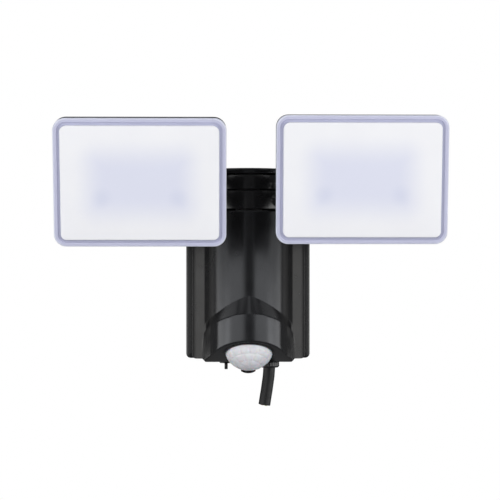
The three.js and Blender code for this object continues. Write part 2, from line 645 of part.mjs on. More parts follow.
function ledBoard() {
  const back = POCKET.floor - GAP;
  const front = back - 1.6;
  const board = slab(64, 45.5, 2, front, back);
  const chips = [];
  for (const column of [-1.5, -0.5, 0.5, 1.5]) {
    for (const row of [-1, 0, 1]) {
      const [x, z] = [column * 13, row * 13];
      chips.push(block([x - 1.75, front - 0.8, z - 1.75], [x + 1.75, front + 0.2, z + 1.75]));
    }
  }
  const screws = [-27, 27].map((x) => bar('y', [x, 0, -10.5], front - 1.4, front + 0.2, 2.6, 8));
  return addAll(board, [...chips, ...screws]);
}

// The bolt through ears and eye, and the hand knob on its outer end.
function tiltBolt(side) {
  const earOuter = EAR.inner + EAR.thickness;
  const shank = bar('x', [0, 0, 0], -earOuter - 4, earOuter + 6, 3, 16);
  const head = bar('x', [0, 0, 0], -earOuter - 4.3, -earOuter - GAP, 5.2, 6);
  return side > 0 ? shank.add(head) : shank.add(head).rotate([0, 0, 180]);
}

function tiltKnob(side) {
  const from = EAR.inner + EAR.thickness + GAP;
  const collar = bar('x', [0, 0, 0], from, from + 2.2, 5.6, 12);
  const grip = bar('x', [0, 0, 0], from + 2, from + 8, 7, 15);
  const lobes = [0, 1, 2, 3, 4].map((k) => {
    const angle = k * 2 * Math.PI / 5;
    return bar('x', [0, 6.4 * Math.cos(angle), 6.4 * Math.sin(angle)], from + 2, from + 8, 2.4, 6);
  });
  const knob = addAll(collar, [grip, ...lobes]).subtract(bar('x', [0, 0, 0], 0, from + 6.6, 3.3, 12));
  return side > 0 ? knob : knob.rotate([0, 0, 180]);
}

function head(parent, side, tilt) {
  const name = side > 0 ? 'right' : 'left';
  const group = new THREE.Group();
  group.position.set(side * HEAD.x, HEAD.y, HEAD.z);
  group.rotation.x = THREE.MathUtils.degToRad(tilt);
  parent.add(group);
  const { coverBack, housingFront } = HEAD_PLANES;
  piece(group, `${name}_housing`, headHousing(), blackAluminium);
  piece(group, `${name}_lens_cover`, lensCover(), opalPlastic);
  const gasket = slab(116, 86, 6.2, housingFront, housingFront + 1.6)
    .subtract(slab(112, 82, 4.3, coverBack - 1, housingFront + 3));
  piece(group, `${name}_lens_gasket`, gasket, blackRubber);
  piece(group, `${name}_reflector`, reflectorTray(), whitePlastic);
  piece(group, `${name}_led_board`, ledBoard(), whitePlastic);
  piece(group, `${name}_tilt_bolt`, tiltBolt(side), steel);
  piece(group, `${name}_tilt_knob`, tiltKnob(side), blackPlastic);
  corners.forEach(([x, z], k) => {
    piece(group, `${name}_housing_screw_${k + 1}`, screwAlongY(x, z, -26.6, -28.9, -38.5, 2.8, 1.3), steel);
  });
}

// ---------------------------------------------------------------- the whole light
function floodlight() {
  const light = new THREE.Group();
  piece(light, 'wall_bracket', wallBracket(), steel);
  piece(light, 'rear_cover', rearCover(), blackPlastic);
  const gasket = slab(79.6, 136.8, 5, -8, -REAR.depth - GAP, 0, RIM_CENTRE)
    .subtract(slab(75.6, 132.9, 4.2, -9, -REAR.depth + 1, 0, RIM_CENTRE));
  piece(light, 'body_gasket', gasket, blackRubber);
  piece(light, 'body_shell', bodyShell(), blackPlastic);
  BOSSES.forEach(([x, z], k) => {
    piece(light, `cover_screw_${k + 1}`, screwAlongY(x, z, -0.5, -2.7, -18, 2.9, 1.3), steel);
  });
  const lockHead = bar('z', [0, -3, 0], -74.3, -72.5, 2.8, 14);
  piece(light, 'bracket_lock_screw', lockHead.add(bar('z', [0, -3, 0], -72.6, -61, 1.5, 10)), steel);
  driverBoard(light);
  controls(light);
  sensor(light);
  supply(light);
  swivelStack(light);
  piece(light, 'right_arm', arm(1, PIVOT.floor + GAP, PIVOT.split), blackPlastic);
  piece(light, 'left_arm', arm(-1, PIVOT.split, PIVOT.lug - GAP - WASHER.thickness), blackPlastic);
  head(light, -1, LEFT_TILT);
  head(light, 1, RIGHT_TILT);
  return light;
}

export default floodlight();
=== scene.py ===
"""Looks of the twin-head sensor floodlight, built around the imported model.

Lengths are in millimetres in the tables below and in metres in Blender. The row frame is used
throughout: +X right, front towards -Y, +Z up, origin on the wall behind the middle of the body.
"""

import json
import math

import bmesh
import bpy
from mathutils import Matrix, Vector


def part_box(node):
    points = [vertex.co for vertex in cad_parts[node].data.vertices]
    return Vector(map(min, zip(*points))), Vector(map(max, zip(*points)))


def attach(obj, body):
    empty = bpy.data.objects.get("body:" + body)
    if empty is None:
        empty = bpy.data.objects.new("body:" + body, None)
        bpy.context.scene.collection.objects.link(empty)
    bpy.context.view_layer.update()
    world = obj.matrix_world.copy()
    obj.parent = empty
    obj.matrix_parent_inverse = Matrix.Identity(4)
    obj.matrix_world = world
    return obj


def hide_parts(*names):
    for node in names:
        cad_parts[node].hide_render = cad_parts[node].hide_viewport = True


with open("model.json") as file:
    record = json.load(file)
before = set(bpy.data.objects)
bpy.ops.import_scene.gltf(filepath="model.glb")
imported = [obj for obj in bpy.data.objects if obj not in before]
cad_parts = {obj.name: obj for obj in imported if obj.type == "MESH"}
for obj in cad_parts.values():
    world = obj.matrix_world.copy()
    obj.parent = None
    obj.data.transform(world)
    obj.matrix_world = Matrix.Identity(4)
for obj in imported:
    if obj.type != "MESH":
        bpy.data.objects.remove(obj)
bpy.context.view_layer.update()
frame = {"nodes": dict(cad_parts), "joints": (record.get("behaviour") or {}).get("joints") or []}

scene = bpy.context.scene
MM = 0.001
JOINTS = {joint["name"]: joint for joint in frame["joints"]}


def box_mm(node):
    """Lowest and highest corner of a CAD node, in millimetres."""
    low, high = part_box(node)
    return low / MM, high / MM


# ------ driving dimensions
REAR_SIZE = (94.4, 144.4, 3.5)
WING_Y = -26.0
BODY_BOTTOM = -74.0
WING_BOTTOM = -71.5
BACK_Y, BODY_TOP = box_mm("body_shell")[1].yz
HALF_WIDTH = box_mm("body_shell")[1].x
CORNER_RADIUS = 3.4
NOTCH = (39.6, 67.3)
UNDERSIDE_RISE = 0.54
PIN_Y = JOINTS["left_arm_swivel"]["pos_m"][1] / MM
PIN_BORE = 4.6
LENS = {"centre": Vector((0, -38.5, -67.2)), "radius": 17.5, "height": 11.5, "wall": 1.1}
CORD_DIAMETER = 0.009  # in metres
GLAND_MOUTH = (15.9, -17.0, -78.6)
TIME_KNOB = (-16.8, -14)
LUX_KNOB = (0, -14)
HEAD_SIZE = (121.5, 91.0, 8.75)
HEAD_PIVOT = (78.2, -74.0, 64.8)
REST_TILT = {"left": 11.0, "right": 7.8}
EYE_RADIUS = 9.0
BOLT_BORE = 3.3


# ------ mesh tools
CREASE = 35.0


def new_object(name, vertices, faces, matrix=None, crease=CREASE):
    """A mesh object from millimetre vertices, shaded smooth below the crease angle."""
    mesh = bpy.data.meshes.new(name)
    mesh.from_pydata([Vector(v) * MM for v in vertices], [], faces)
    tidy_mesh(mesh)
    shade(mesh, crease)
    obj = bpy.data.objects.new(name, mesh)
    scene.collection.objects.link(obj)
    if matrix is not None:
        obj.matrix_world = matrix
    return obj


def tidy_mesh(mesh):
    """Merges doubled points and turns every face outwards."""
    work = bmesh.new()
    work.from_mesh(mesh)
    bmesh.ops.remove_doubles(work, verts=work.verts, dist=2e-6)
    bmesh.ops.dissolve_degenerate(work, edges=work.edges, dist=1e-7)
    bmesh.ops.recalc_face_normals(work, faces=work.faces)
    work.to_mesh(mesh)
    work.free()


def shade(mesh, crease):
    for polygon in mesh.polygons:
        polygon.use_smooth = True
    mesh.set_sharp_from_angle(angle=math.radians(crease))


def bake_modifiers(obj, crease=CREASE):
    """Replaces the mesh by what its modifiers make of it."""
    graph = bpy.context.evaluated_depsgraph_get()
    mesh = bpy.data.meshes.new_from_object(obj.evaluated_get(graph))
    obj.modifiers.clear()
    obj.data = mesh
    tidy_mesh(mesh)
    shade(mesh, crease)


def combine(obj, others, operation, crease=CREASE):
    """Cuts or joins closed bodies and removes the tools."""
    for other in others:
        modifier = obj.modifiers.new("shape", "BOOLEAN")
        modifier.operation = operation
        modifier.solver = "EXACT"
        modifier.object = other
    bake_modifiers(obj, crease)
    for other in others:
        bpy.data.objects.remove(other, do_unlink=True)
    return obj


def cut(obj, tools, crease=CREASE):
    return combine(obj, tools, "DIFFERENCE", crease)


def join(obj, parts, crease=CREASE):
    return combine(obj, parts, "UNION", crease)


def soften(obj, width, segments=2, limit=40.0, crease=CREASE):
    """Rounds the edges that are sharper than the limit."""
    modifier = obj.modifiers.new("edges", "BEVEL")
    modifier.width = width * MM
    modifier.segments = segments
    modifier.limit_method = "ANGLE"
    modifier.angle_limit = math.radians(limit)
    modifier.use_clamp_overlap = True
    modifier.miter_outer = "MITER_ARC"
    bake_modifiers(obj, crease)
    return obj


def skin(name, rings, matrix=None, crease=CREASE, cyclic=False, cap_start=True, cap_end=True):
    """A mesh object stretched over rings that have the same number of points."""
    count = len(rings[0])
    vertices = [point for ring in rings for point in ring]
    faces = []
    rows = len(rings) if cyclic else len(rings) - 1
    for row in range(rows):
        below = row * count
        above = (row + 1) % len(rings) * count
        for k in range(count):
            after = (k + 1) % count
            faces.append((below + k, below + after, above + after, above + k))
    if not cyclic and cap_start:
        faces.append(tuple(range(count)))
    if not cyclic and cap_end:
        faces.append(tuple(range((len(rings) - 1) * count, len(rings) * count)))
    return new_object(name, vertices, faces, matrix, crease)


def filleted(points, steps=4):
    """A polyline of (u, v, radius) points with each corner rounded to its radius."""
    result = []
    for k, (u, v, radius) in enumerate(points):
        corner = Vector((u, v))
        if radius <= 0 or k in (0, len(points) - 1):
            result.append((u, v))
            continue
        before = Vector(points[k - 1][:2])
        after = Vector(points[k + 1][:2])
        reach_in = min(radius, (before - corner).length * 0.49)
        reach_out = min(radius, (after - corner).length * 0.49)
        start = corner + (before - corner).normalized() * reach_in
        end = corner + (after - corner).normalized() * reach_out
        for step in range(steps + 1):
            t = step / steps
            bent = start * (1 - t) ** 2 + corner * 2 * t * (1 - t) + end * t ** 2
            result.append((bent.x, bent.y))
    return result


def turns(sides):
    """Angles of the points of a ring."""
    return [2 * math.pi * k / sides for k in range(sides)]


def circle(radius, height, sides, centre=(0, 0)):
    """Points of a level ring."""
    x, y = centre
    return [(x + radius * math.cos(t), y + radius * math.sin(t), height) for t in turns(sides)]


def turned(name, points, steps=3, centre=(0, 0), sides=64, matrix=None, closed=True):
    """A turned body round a vertical axis from (radius, height, rounding) points.

    A closed profile makes a ring. One that isn't closed starts and ends on the axis.
    """
    profile = filleted([*points, points[0]], steps)[:-1] if closed else filleted(points, steps)
    rings = [circle(radius, height, sides, centre) for radius, height in profile]
    return skin(name, rings, matrix, cyclic=closed, cap_start=False, cap_end=False)


def fluted(profile, sides, least, depth_at):
    """Rings round the Z axis, cut in by depth_at(angle) where the radius is over the least."""
    rings = []
    for radius, height in profile:
        ring = []
        for turn in turns(sides):
            far = radius - (depth_at(turn) if radius > least else 0.0)
            ring.append((far * math.cos(turn), far * math.sin(turn), height))
        rings.append(ring)
    return rings


def frame_along(start, direction):
    """A frame at a point whose +Z looks along a direction."""
    turn = Vector((0, 0, 1)).rotation_difference(Vector(direction)).to_matrix().to_4x4()
    return Matrix.Translation(Vector(start) * MM) @ turn


def rod(name, start, end, radius, sides=32, edge=0.0, matrix=None):
    """A round bar between two points, with rounded rims."""
    along = Vector(end) - Vector(start)
    points = [(0, 0, 0), (radius, 0, edge), (radius, along.length, edge), (0, along.length, 0)]
    obj = turned(name, points, sides=sides, closed=False)
    ends = frame_along(start, along)
    obj.data.transform(ends if matrix is None else matrix @ ends)
    return obj


def outline(width, height, radius, steps=8):
    """Points of a rounded rectangle about the origin."""
    points = []
    signs = ((1, 1), (-1, 1), (-1, -1), (1, -1))
    for corner, (sx, sy) in enumerate(signs):
        for step in range(steps + 1):
            angle = (corner + step / steps) * math.pi / 2
            points.append((
                sx * (width / 2 - radius) + radius * math.cos(angle),
                sy * (height / 2 - radius) + radius * math.sin(angle),
            ))
    return points


def framed(name, size, profile, centre=(0, 0), cyclic=False, crease=CREASE, steps=8, least=0.4):
    """A body whose outline is a rounded rectangle; the profile gives (inset, y) points."""
    width, height, radius = size
    rings = []
    for inset, y in profile:
        corner = max(radius - inset, least)
        ring = outline(width - 2 * inset, height - 2 * inset, corner, steps)
        rings.append([(centre[0] + x, y, centre[1] + z) for x, z in ring])
    return skin(name, rings, crease=crease, cyclic=cyclic)


def block(name, low, high, edge=0.0):
    """A box between two corners, with rounded edges."""
    (x0, y0, z0), (x1, y1, z1) = low, high
    vertices = [(x, y, z) for z in (z0, z1) for y in (y0, y1) for x in (x0, x1)]
    faces = [(0, 1, 3, 2), (4, 6, 7, 5), (0, 4, 5, 1), (2, 3, 7, 6), (0, 2, 6, 4), (1, 5, 7, 3)]
    obj = new_object(name, vertices, faces)
    if edge > 0:
        soften(obj, edge, 2)
    return obj


def smooth_path(points, samples):
    """Points along a Catmull-Rom curve through given points."""
    knots = [Vector(p) for p in points]
    knots = [2 * knots[0] - knots[1], *knots, 2 * knots[-1] - knots[-2]]
    spans = len(points) - 1
    result = []
    for sample in range(samples + 1):
        reached = min(sample / samples * spans, spans - 1e-9)
        k = int(reached)
        t = reached - k
        a, b, c, d = knots[k:k + 4]
        result.append(0.5 * (2 * b + (c - a) * t + (2 * a - 5 * b + 4 * c - d) * t ** 2
                             + (3 * b - a - 3 * c + d) * t ** 3))
    return result


def tube(name, path, radius, sides):
    """A round bar along a path. Its section keeps its direction from one end to the other."""
    tangents = []
    for k in range(len(path)):
        ahead = path[min(k + 1, len(path) - 1)]
        painted_board_shade = path[max(k - 1, 0)]
        tangents.append((ahead - painted_board_shade).normalized())
    side = tangents[0].orthogonal().normalized()
    rings = []
    for point, tangent in zip(path, tangents):
        side = (side - tangent * side.dot(tangent)).normalized()
        other = tangent.cross(side)
        rings.append([point + side * u + other * v for u, v, _ in circle(radius, 0, sides)])
    return skin(name, rings)


def give_material(obj, material):
    obj.data.materials.clear()
    obj.data.materials.append(material)


def place(obj, body, slot, material, *nodes):
    """Hangs a finished piece on its CAD body. It takes the place of the CAD nodes named last."""
    give_material(obj, material)
    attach(obj, body)
    if nodes:
        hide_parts(*nodes)


# ------ materials
class Paint:
    """Builds one procedural material from small steps."""

    def __init__(self, name):
        self.material = bpy.data.materials.new(name)
        self.material.use_nodes = True
        self.tree = self.material.node_tree
        self.tree.nodes.clear()
        self.shader = self.tree.nodes.new("ShaderNodeBsdfPrincipled")
        output = self.tree.nodes.new("ShaderNodeOutputMaterial")
        self.link(self.shader.outputs["BSDF"], output.inputs["Surface"])
        self.place = self.tree.nodes.new("ShaderNodeTexCoord").outputs["Object"]
        self.split = self.tree.nodes.new("ShaderNodeSeparateXYZ")
        self.link(self.place, self.split.inputs[0])

    def link(self, source, target):
        self.tree.links.new(source, target)

    def feed(self, target, value):
        if isinstance(value, bpy.types.NodeSocket):
            self.link(value, target)
        else:
            target.default_value = value

    def math(self, operation, first, second=0.0):
        node = self.tree.nodes.new("ShaderNodeMath")
        node.operation = operation
        for socket, value in zip(node.inputs, (first, second)):
            self.feed(socket, value)
        return node.outputs[0]

    def axis(self, name):
        return self.split.outputs[name]

    def noise(self, scale, detail=3.0, roughness=0.5, stretch=(1, 1, 1)):
        mapping = self.tree.nodes.new("ShaderNodeMapping")
        mapping.inputs["Scale"].default_value = stretch
        self.link(self.place, mapping.inputs["Vector"])
        node = self.tree.nodes.new("ShaderNodeTexNoise")
        for name, number in (("Scale", scale), ("Detail", detail), ("Roughness", roughness)):
            node.inputs[name].default_value = number
        self.link(mapping.outputs["Vector"], node.inputs["Vector"])
        return node.outputs["Fac"]

    def mottle(self, scale, low=0.0, high=1.0, detail=3.0):
        """Noise spread between two values."""
        return self.between(self.noise(scale, detail), 0.3, 0.7, low, high)

    def cells(self, scale):
        node = self.tree.nodes.new("ShaderNodeTexVoronoi")
        node.inputs["Scale"].default_value = scale
        self.link(self.place, node.inputs["Vector"])
        return node.outputs["Distance"]

    def between(self, value, low, high, to_low=0.0, to_high=1.0, smooth=False):
        node = self.tree.nodes.new("ShaderNodeMapRange")
        node.interpolation_type = "SMOOTHSTEP" if smooth else "LINEAR"
        self.feed(node.inputs["Value"], value)
        for name, number in (("From Min", low), ("From Max", high), ("To Min", to_low), ("To Max", to_high)):
            node.inputs[name].default_value = number
        return node.outputs["Result"]

    def mix(self, factor, first, second):
        node = self.tree.nodes.new("ShaderNodeMix")
        node.data_type = "RGBA"
        colours = [s for s in node.inputs if s.type == "RGBA"]
        self.feed(node.inputs[0], factor)
        for socket, value in zip(colours, (first, second)):
            self.feed(socket, (*value, 1) if isinstance(value, tuple) else value)
        return [s for s in node.outputs if s.type == "RGBA"][0]

    def bump(self, height, strength, distance):
        node = self.tree.nodes.new("ShaderNodeBump")
        node.inputs["Strength"].default_value = strength
        node.inputs["Distance"].default_value = distance
        self.link(height, node.inputs["Height"])
        self.link(node.outputs["Normal"], self.shader.inputs["Normal"])

    def set(self, **values):
        for name, value in values.items():
            self.feed(self.shader.inputs[name.replace("_", " ")], value)
        return self.material


def moulded(name, dark, light, roughness, grain, depth, painted_hump_reflection=False, **extra):
    """Moulded or coated surface: faint mottling, uneven sheen and fine grain.

    A shell can carry a painted reflection tint: its reflections turn cooler over the hump in its middle than
    on the wings beside it.
    """
    paint = Paint(name)
    if painted_hump_reflection:
        off_centre = paint.math("ABSOLUTE", paint.axis("X"))
        # Painted reflection colour: the specular tint is cooler over the hump than on the wings.
        painted_reflection_tint = paint.mix(paint.between(off_centre, 0.022, 0.028), (0.93, 0.955, 1.0), (1.0, 0.99, 0.97))
        extra["Specular_Tint"] = painted_reflection_tint
    colour = paint.mix(paint.mottle(38.0, detail=2.0), dark, light)
    sheen = paint.mottle(90.0, roughness - 0.03, roughness + 0.04, detail=4.0)
    paint.bump(paint.noise(grain, 2.0, 0.6), 0.3, depth)
    return paint.set(Base_Color=colour, Roughness=sheen, **extra)


def brushed(name, dark, light, roughness, metallic=1.0):
    """Metal with fine level lines."""
    paint = Paint(name)
    lines = paint.noise(900.0, 2.0, stretch=(1.0, 1.0, 14.0))
    sheen = paint.between(lines, 0.3, 0.7, roughness - 0.06, roughness + 0.08)
    paint.bump(lines, 0.25, 0.00002)
    return paint.set(
        Base_Color=paint.mix(paint.mottle(120.0), dark, light), Metallic=metallic, Roughness=sheen)


def rounded_distance(paint, width, height, radius):
    """Distance outside a rounded rectangle about the piece's own origin, in millimetres."""
    over_x = paint.math("SUBTRACT", paint.math("ABSOLUTE", paint.axis("X")), (width / 2 - radius) * MM)
    over_z = paint.math("SUBTRACT", paint.math("ABSOLUTE", paint.axis("Z")), (height / 2 - radius) * MM)
    out_x = paint.math("MAXIMUM", over_x, 0.0)
    out_z = paint.math("MAXIMUM", over_z, 0.0)
    squares = paint.math("ADD", paint.math("POWER", out_x, 2.0), paint.math("POWER", out_z, 2.0))
    inside = paint.math("MINIMUM", paint.math("MAXIMUM", over_x, over_z), 0.0)
    distance = paint.math("ADD", paint.math("SQRT", squares), inside)
    return paint.math("SUBTRACT", paint.math("DIVIDE", distance, MM), radius)


def spot(paint, x, z, radius, softness):
    """1 inside a round spot in the XZ plane of the piece, fading to 0 outside."""
    off_x = paint.math("POWER", paint.math("SUBTRACT", paint.axis("X"), x * MM), 2.0)
    off_z = paint.math("POWER", paint.math("SUBTRACT", paint.axis("Z"), z * MM), 2.0)
    reach = paint.math("DIVIDE", paint.math("SQRT", paint.math("ADD", off_x, off_z)), MM)
    return paint.between(reach, radius - softness, radius + softness, 1.0, 0.0, smooth=True)


def opal_cover():
    """Frosted cover: cool white, darker towards the rim. Painted shade darkens it where the board and two
    spots behind it show faintly through and in the groove round the panel; a painted highlight lightens its
    outer rounded edge.
    """
    paint = Paint("opal_cover")
    edge = rounded_distance(paint, 111.3, 80.8, 4.9)
    board = rounded_distance(paint, 76.0, 47.0, 9.0)
    bright = paint.mix(paint.mottle(30.0, detail=2.0), (0.865, 0.87, 0.905), (0.885, 0.89, 0.918))
    # Painted shade: the cover is darker where the board behind it shows through.
    painted_board_shade = paint.between(board, -15.0, 11.0, 0.85, 0.0, smooth=True)
    panel = paint.mix(painted_board_shade, bright, (0.695, 0.718, 0.855))
    # Painted shade: two darker spots where parts behind the cover show through.
    painted_spot_shade = paint.math("MAXIMUM", spot(paint, -27.0, -10.5, 5.0, 5.0), spot(paint, 27.0, -10.5, 5.0, 5.0))
    panel = paint.mix(paint.math("MULTIPLY", painted_spot_shade, 0.3), panel, (0.56, 0.60, 0.76))
    # Painted shade: the groove next to the panel is coloured darker than the rest of the flange.
    flange = paint.mix(paint.between(edge, 1.9, 2.5, smooth=True), (0.46, 0.47, 0.62), (0.53, 0.54, 0.70))
    # Painted highlight: the outer rounded edge and skirt are coloured lighter.
    flange = paint.mix(paint.between(edge, 4.2, 4.6, smooth=True), flange, (0.66, 0.68, 0.80))
    colour = paint.mix(paint.between(edge, 0.05, 0.3, smooth=True), panel, flange)
    paint.bump(paint.noise(2600.0, 2.0), 0.15, 0.00002)
    return paint.set(
        Base_Color=colour, Roughness=paint.mottle(60.0, 0.33, 0.42), Specular_IOR_Level=0.35)


def sensor_dome():
    """Milky plastic that lets some light through."""
    paint = Paint("sensor_dome")
    colour = paint.mix(paint.mottle(120.0), (0.70, 0.70, 0.74), (0.75, 0.75, 0.78))
    paint.bump(paint.cells(1500.0), 0.12, 0.00004)
    return paint.set(
        Base_Color=colour, Roughness=paint.mottle(80.0, 0.34, 0.44),
        Subsurface_Weight=0.25, Subsurface_Scale=0.002,
    )


def circuit():
    """Solder mask with small lighter pads."""
    paint = Paint("circuit")
    off_pads = paint.between(paint.cells(420.0), 0.02, 0.05)
    colour = paint.mix(off_pads, (0.10, 0.32, 0.12), (0.012, 0.085, 0.03))
    return paint.set(Base_Color=colour, Roughness=paint.mottle(200.0, 0.35, 0.5))


PLASTIC = ((0.0065, 0.0065, 0.0072), (0.0085, 0.0085, 0.0095), 0.24, 2400.0, 0.000008)
BLACK = moulded("black_moulding", *PLASTIC)
# The shell's reflections carry the painted tint, cooler over the hump.
SHELL = moulded("shell_moulding", *PLASTIC, painted_hump_reflection=True)
COAT = moulded("black_coat", (0.007, 0.007, 0.0078), (0.011, 0.011, 0.012), 0.42, 1700.0, 0.00002)
RUBBER = moulded("black_rubber", (0.010, 0.010, 0.010), (0.016, 0.016, 0.016), 0.6, 1900.0, 0.00004)
JACKET = moulded(
    "cord_jacket", (0.006, 0.006, 0.0065), (0.009, 0.009, 0.0095), 0.42, 2100.0, 0.00003,
    Specular_IOR_Level=0.26)
WHITE = moulded("white_plastic", (0.74, 0.74, 0.72), (0.80, 0.80, 0.78), 0.42, 1800.0, 0.00003)
GREY = moulded("terminal_plastic", (0.56, 0.56, 0.54), (0.63, 0.63, 0.61), 0.45, 1800.0, 0.00003)
FERRITE = moulded("ferrite", (0.025, 0.025, 0.028), (0.04, 0.04, 0.045), 0.6, 900.0, 0.0001)
SLEEVE = moulded("capacitor_sleeve", (0.012, 0.02, 0.11), (0.02, 0.03, 0.15), 0.3, 1500.0, 0.00002)
ZINC = brushed("zinc_plate", (0.52, 0.53, 0.55), (0.64, 0.65, 0.66), 0.33)
DARK_STEEL = brushed("blackened_steel", (0.03, 0.03, 0.032), (0.05, 0.05, 0.053), 0.36, 0.9)
COPPER = brushed("copper", (0.72, 0.33, 0.17), (0.85, 0.42, 0.24), 0.3)
BROWN_CORE = moulded("brown_core", (0.10, 0.035, 0.015), (0.13, 0.05, 0.02), 0.4, 1500.0, 0.00002)
BLUE_CORE = moulded("blue_core", (0.02, 0.07, 0.32), (0.03, 0.09, 0.38), 0.4, 1500.0, 0.00002)
GREEN_CORE = moulded("green_core", (0.06, 0.26, 0.04), (0.45, 0.46, 0.03), 0.4, 1500.0, 0.00002)
OPAL = opal_cover()
DOME = sensor_dome()
BOARD = circuit()


# ------ camera
def aim(obj, target):
    obj.rotation_mode = "QUATERNION"
    obj.rotation_quaternion = (Vector(target) - obj.location).to_track_quat("-Z", "Y")


CAMERA = {
    "target": Vector((-0.00098, -0.116, 0.0103)), "azimuth": math.radians(-1.3), "distance": 1.2,
    "focal_length": 123.4, "sensor_width": 36,
}
camera = bpy.data.objects.new("camera", bpy.data.cameras.new("camera"))
scene.collection.objects.link(camera)
camera.location = CAMERA["target"] + CAMERA["distance"] * Vector(
    (math.sin(CAMERA["azimuth"]), -math.cos(CAMERA["azimuth"]), 0))
camera.data.lens = CAMERA["focal_length"]
camera.data.sensor_width = CAMERA["sensor_width"]
camera.data.dof.use_dof = False
camera.data.clip_start, camera.data.clip_end = 0.05, 30
aim(camera, CAMERA["target"])
scene.camera = camera


# ------ supply cord
# Points down the cord: straight through the gland, then bending left and a little forwards.
CORD_ROUTE = [
    (15.9, -17.0, -51.0), (15.9, -17.0, -54.5), (15.9, -17.0, -58.0), (15.9, -17.0, -61.5),
    (15.9, -17.0, -65.0), (15.9, -17.0, -68.5), (15.9, -17.0, -72.0), (15.9, -17.0, -75.5),
    (15.8, -17.0, -79.0), (15.6, -17.0, -82.5), (15.3, -17.1, -86.0), (14.8, -17.2, -89.5),
    (14.3, -17.4, -93.0), (13.8, -17.6, -96.5), (13.2, -17.8, -100.0), (12.65, -17.9, -103.5),
    (12.1, -18.0, -107.0),
]


def supply_cord():
    """The round cord with its three insulated cores showing at the cut end."""
    line = smooth_path(CORD_ROUTE, 4 * (len(CORD_ROUTE) - 1))
    jacket = tube("cord_jacket", line, CORD_DIAMETER / 2 / MM, 40)
    soften(jacket, 0.35, 2, 60)
    place(jacket, "base", "black_rubber", JACKET, "supply_cord")
    end = line[-1]
    along = (end - line[-3]).normalized()
    side = along.orthogonal().normalized()
    cores = []
    for k, (name, paint) in enumerate((("brown", BROWN_CORE), ("blue", BLUE_CORE), ("green", GREEN_CORE))):
        turn = Matrix.Rotation(math.radians(120 * k + 40), 3, along)
        centre = end + turn @ side * 1.75
        core = rod(f"cord_core_{name}", centre - along * 3, centre + along * 0.35, 1.35, 24, 0.15)
        place(core, "base", "black_rubber", paint)
        wire = rod(f"cord_wire_{name}", centre - along * 3, centre + along * 0.5, 0.65, 16, 0.1)
        place(wire, "base", "steel", COPPER)
        cores += [core, wire]


supply_cord()


# ------ front shell
# The hump runs the height of the body, and the pod below the shoulder holds the sensor. Each is an
# arc as far out as its edge. Its flank then drops back by the fall for each millimetre outwards.
HUMP = {"depth": 22.0, "radius": 30.3, "edge": 25.5, "fall": 1.85, "foot": 29.86}
POD = {"depth": 31.3, "radius": 28.7, "edge": 24.0, "fall": 1.9, "bend": 28.9}
POD_FOOT = {"low": 35.1, "high": 30.3, "reach": 29, "power": 3.5}
CHEVRON = {"tip": -23.7, "rounding": 1.5, "slope": 0.335, "bow": 0.00997}
ARC = {"top": -37, "drop": 4, "half_width": 20.5, "power": 2.64}
STEP_UP = {"start": 32, "length": 3}
WINGS = {"slope": 0.2, "start": 32.5, "straight": 33.7, "level": 39}
WALL = 2.6
LINING_BACK = 2.5
LINING_HALF_WIDTH = 40.1
SIDE_EDGE = 0.5
SHELL_CREASE = 32


def clamped(value, low, high):
    return min(max(value, low), high)


def crown_depth(x, crown):
    """How far an arc stands ahead of the wings; beyond its edge it keeps its depth there."""
    reach = min(abs(x), crown["edge"])
    return crown["depth"] - crown["radius"] + math.sqrt(crown["radius"] ** 2 - reach ** 2)


def hump_depth(x):
    return max(crown_depth(x, HUMP) - HUMP["fall"] * max(abs(x) - HUMP["edge"], 0), 0)


def pod_foot(z):
    """How far out the pod's flank meets the wing: widest at the bottom."""
    height = clamped((z - BODY_BOTTOM) / POD_FOOT["reach"], 0, 1)
    return POD_FOOT["low"] - (POD_FOOT["low"] - POD_FOOT["high"]) * height ** POD_FOOT["power"]


def pod_depth(x, z):
    past_edge = clamped(abs(x) - POD["edge"], 0, POD["bend"] - POD["edge"])
    share = (abs(x) - POD["bend"]) / (pod_foot(z) - POD["bend"])
    return (crown_depth(x, POD) - POD["fall"] * past_edge) * (1 - clamped(share, 0, 1))


def chevron(x):
    """Height of the shoulder's upper edge: a bowed V with a slightly rounded tip."""
    arm = math.hypot(x, CHEVRON["rounding"]) - CHEVRON["rounding"]
    return CHEVRON["tip"] - CHEVRON["slope"] * arm - CHEVRON["bow"] * x * x


def shoulder_arc(x):
    """Height of the shoulder's lower edge."""
    return ARC["top"] - ARC["drop"] * (abs(x) / ARC["half_width"]) ** ARC["power"]


def front_depth(x, z):
    t = clamped((chevron(x) - z) / (chevron(x) - shoulder_arc(x)), 0, 1)
    return (1 - t) * hump_depth(x) + t * pod_depth(x, z)


def corner_pull(x):
    """How far the rounded corners draw the top and bottom edges in."""
    over = max(abs(x) - (HALF_WIDTH - CORNER_RADIUS), 0)
    return CORNER_RADIUS - math.sqrt(max(CORNER_RADIUS ** 2 - over ** 2, 0))


def shell_bottom(x):
    """Height of the bottom edge: the wings end a little above the middle."""
    t = clamped((abs(x) - STEP_UP["start"]) / STEP_UP["length"], 0, 1)
    return BODY_BOTTOM + (WING_BOTTOM - BODY_BOTTOM) * t * t * (3 - 2 * t) + corner_pull(x)


def wing_fall(x):
    """The wings: flat beside the hump, then sloping back outwards, then flat again at the edge."""
    def over(start, end):
        return clamped(abs(x) - start, 0, end - start)

    start, straight, level = WINGS["start"], WINGS["straight"], WINGS["level"]
    enter = over(start, straight) ** 2 / (2 * (straight - start))
    leave = over(level, HALF_WIDTH) - over(level, HALF_WIDTH) ** 2 / (2 * (HALF_WIDTH - level))
    return WINGS["slope"] * (enter + over(straight, level) + leave)


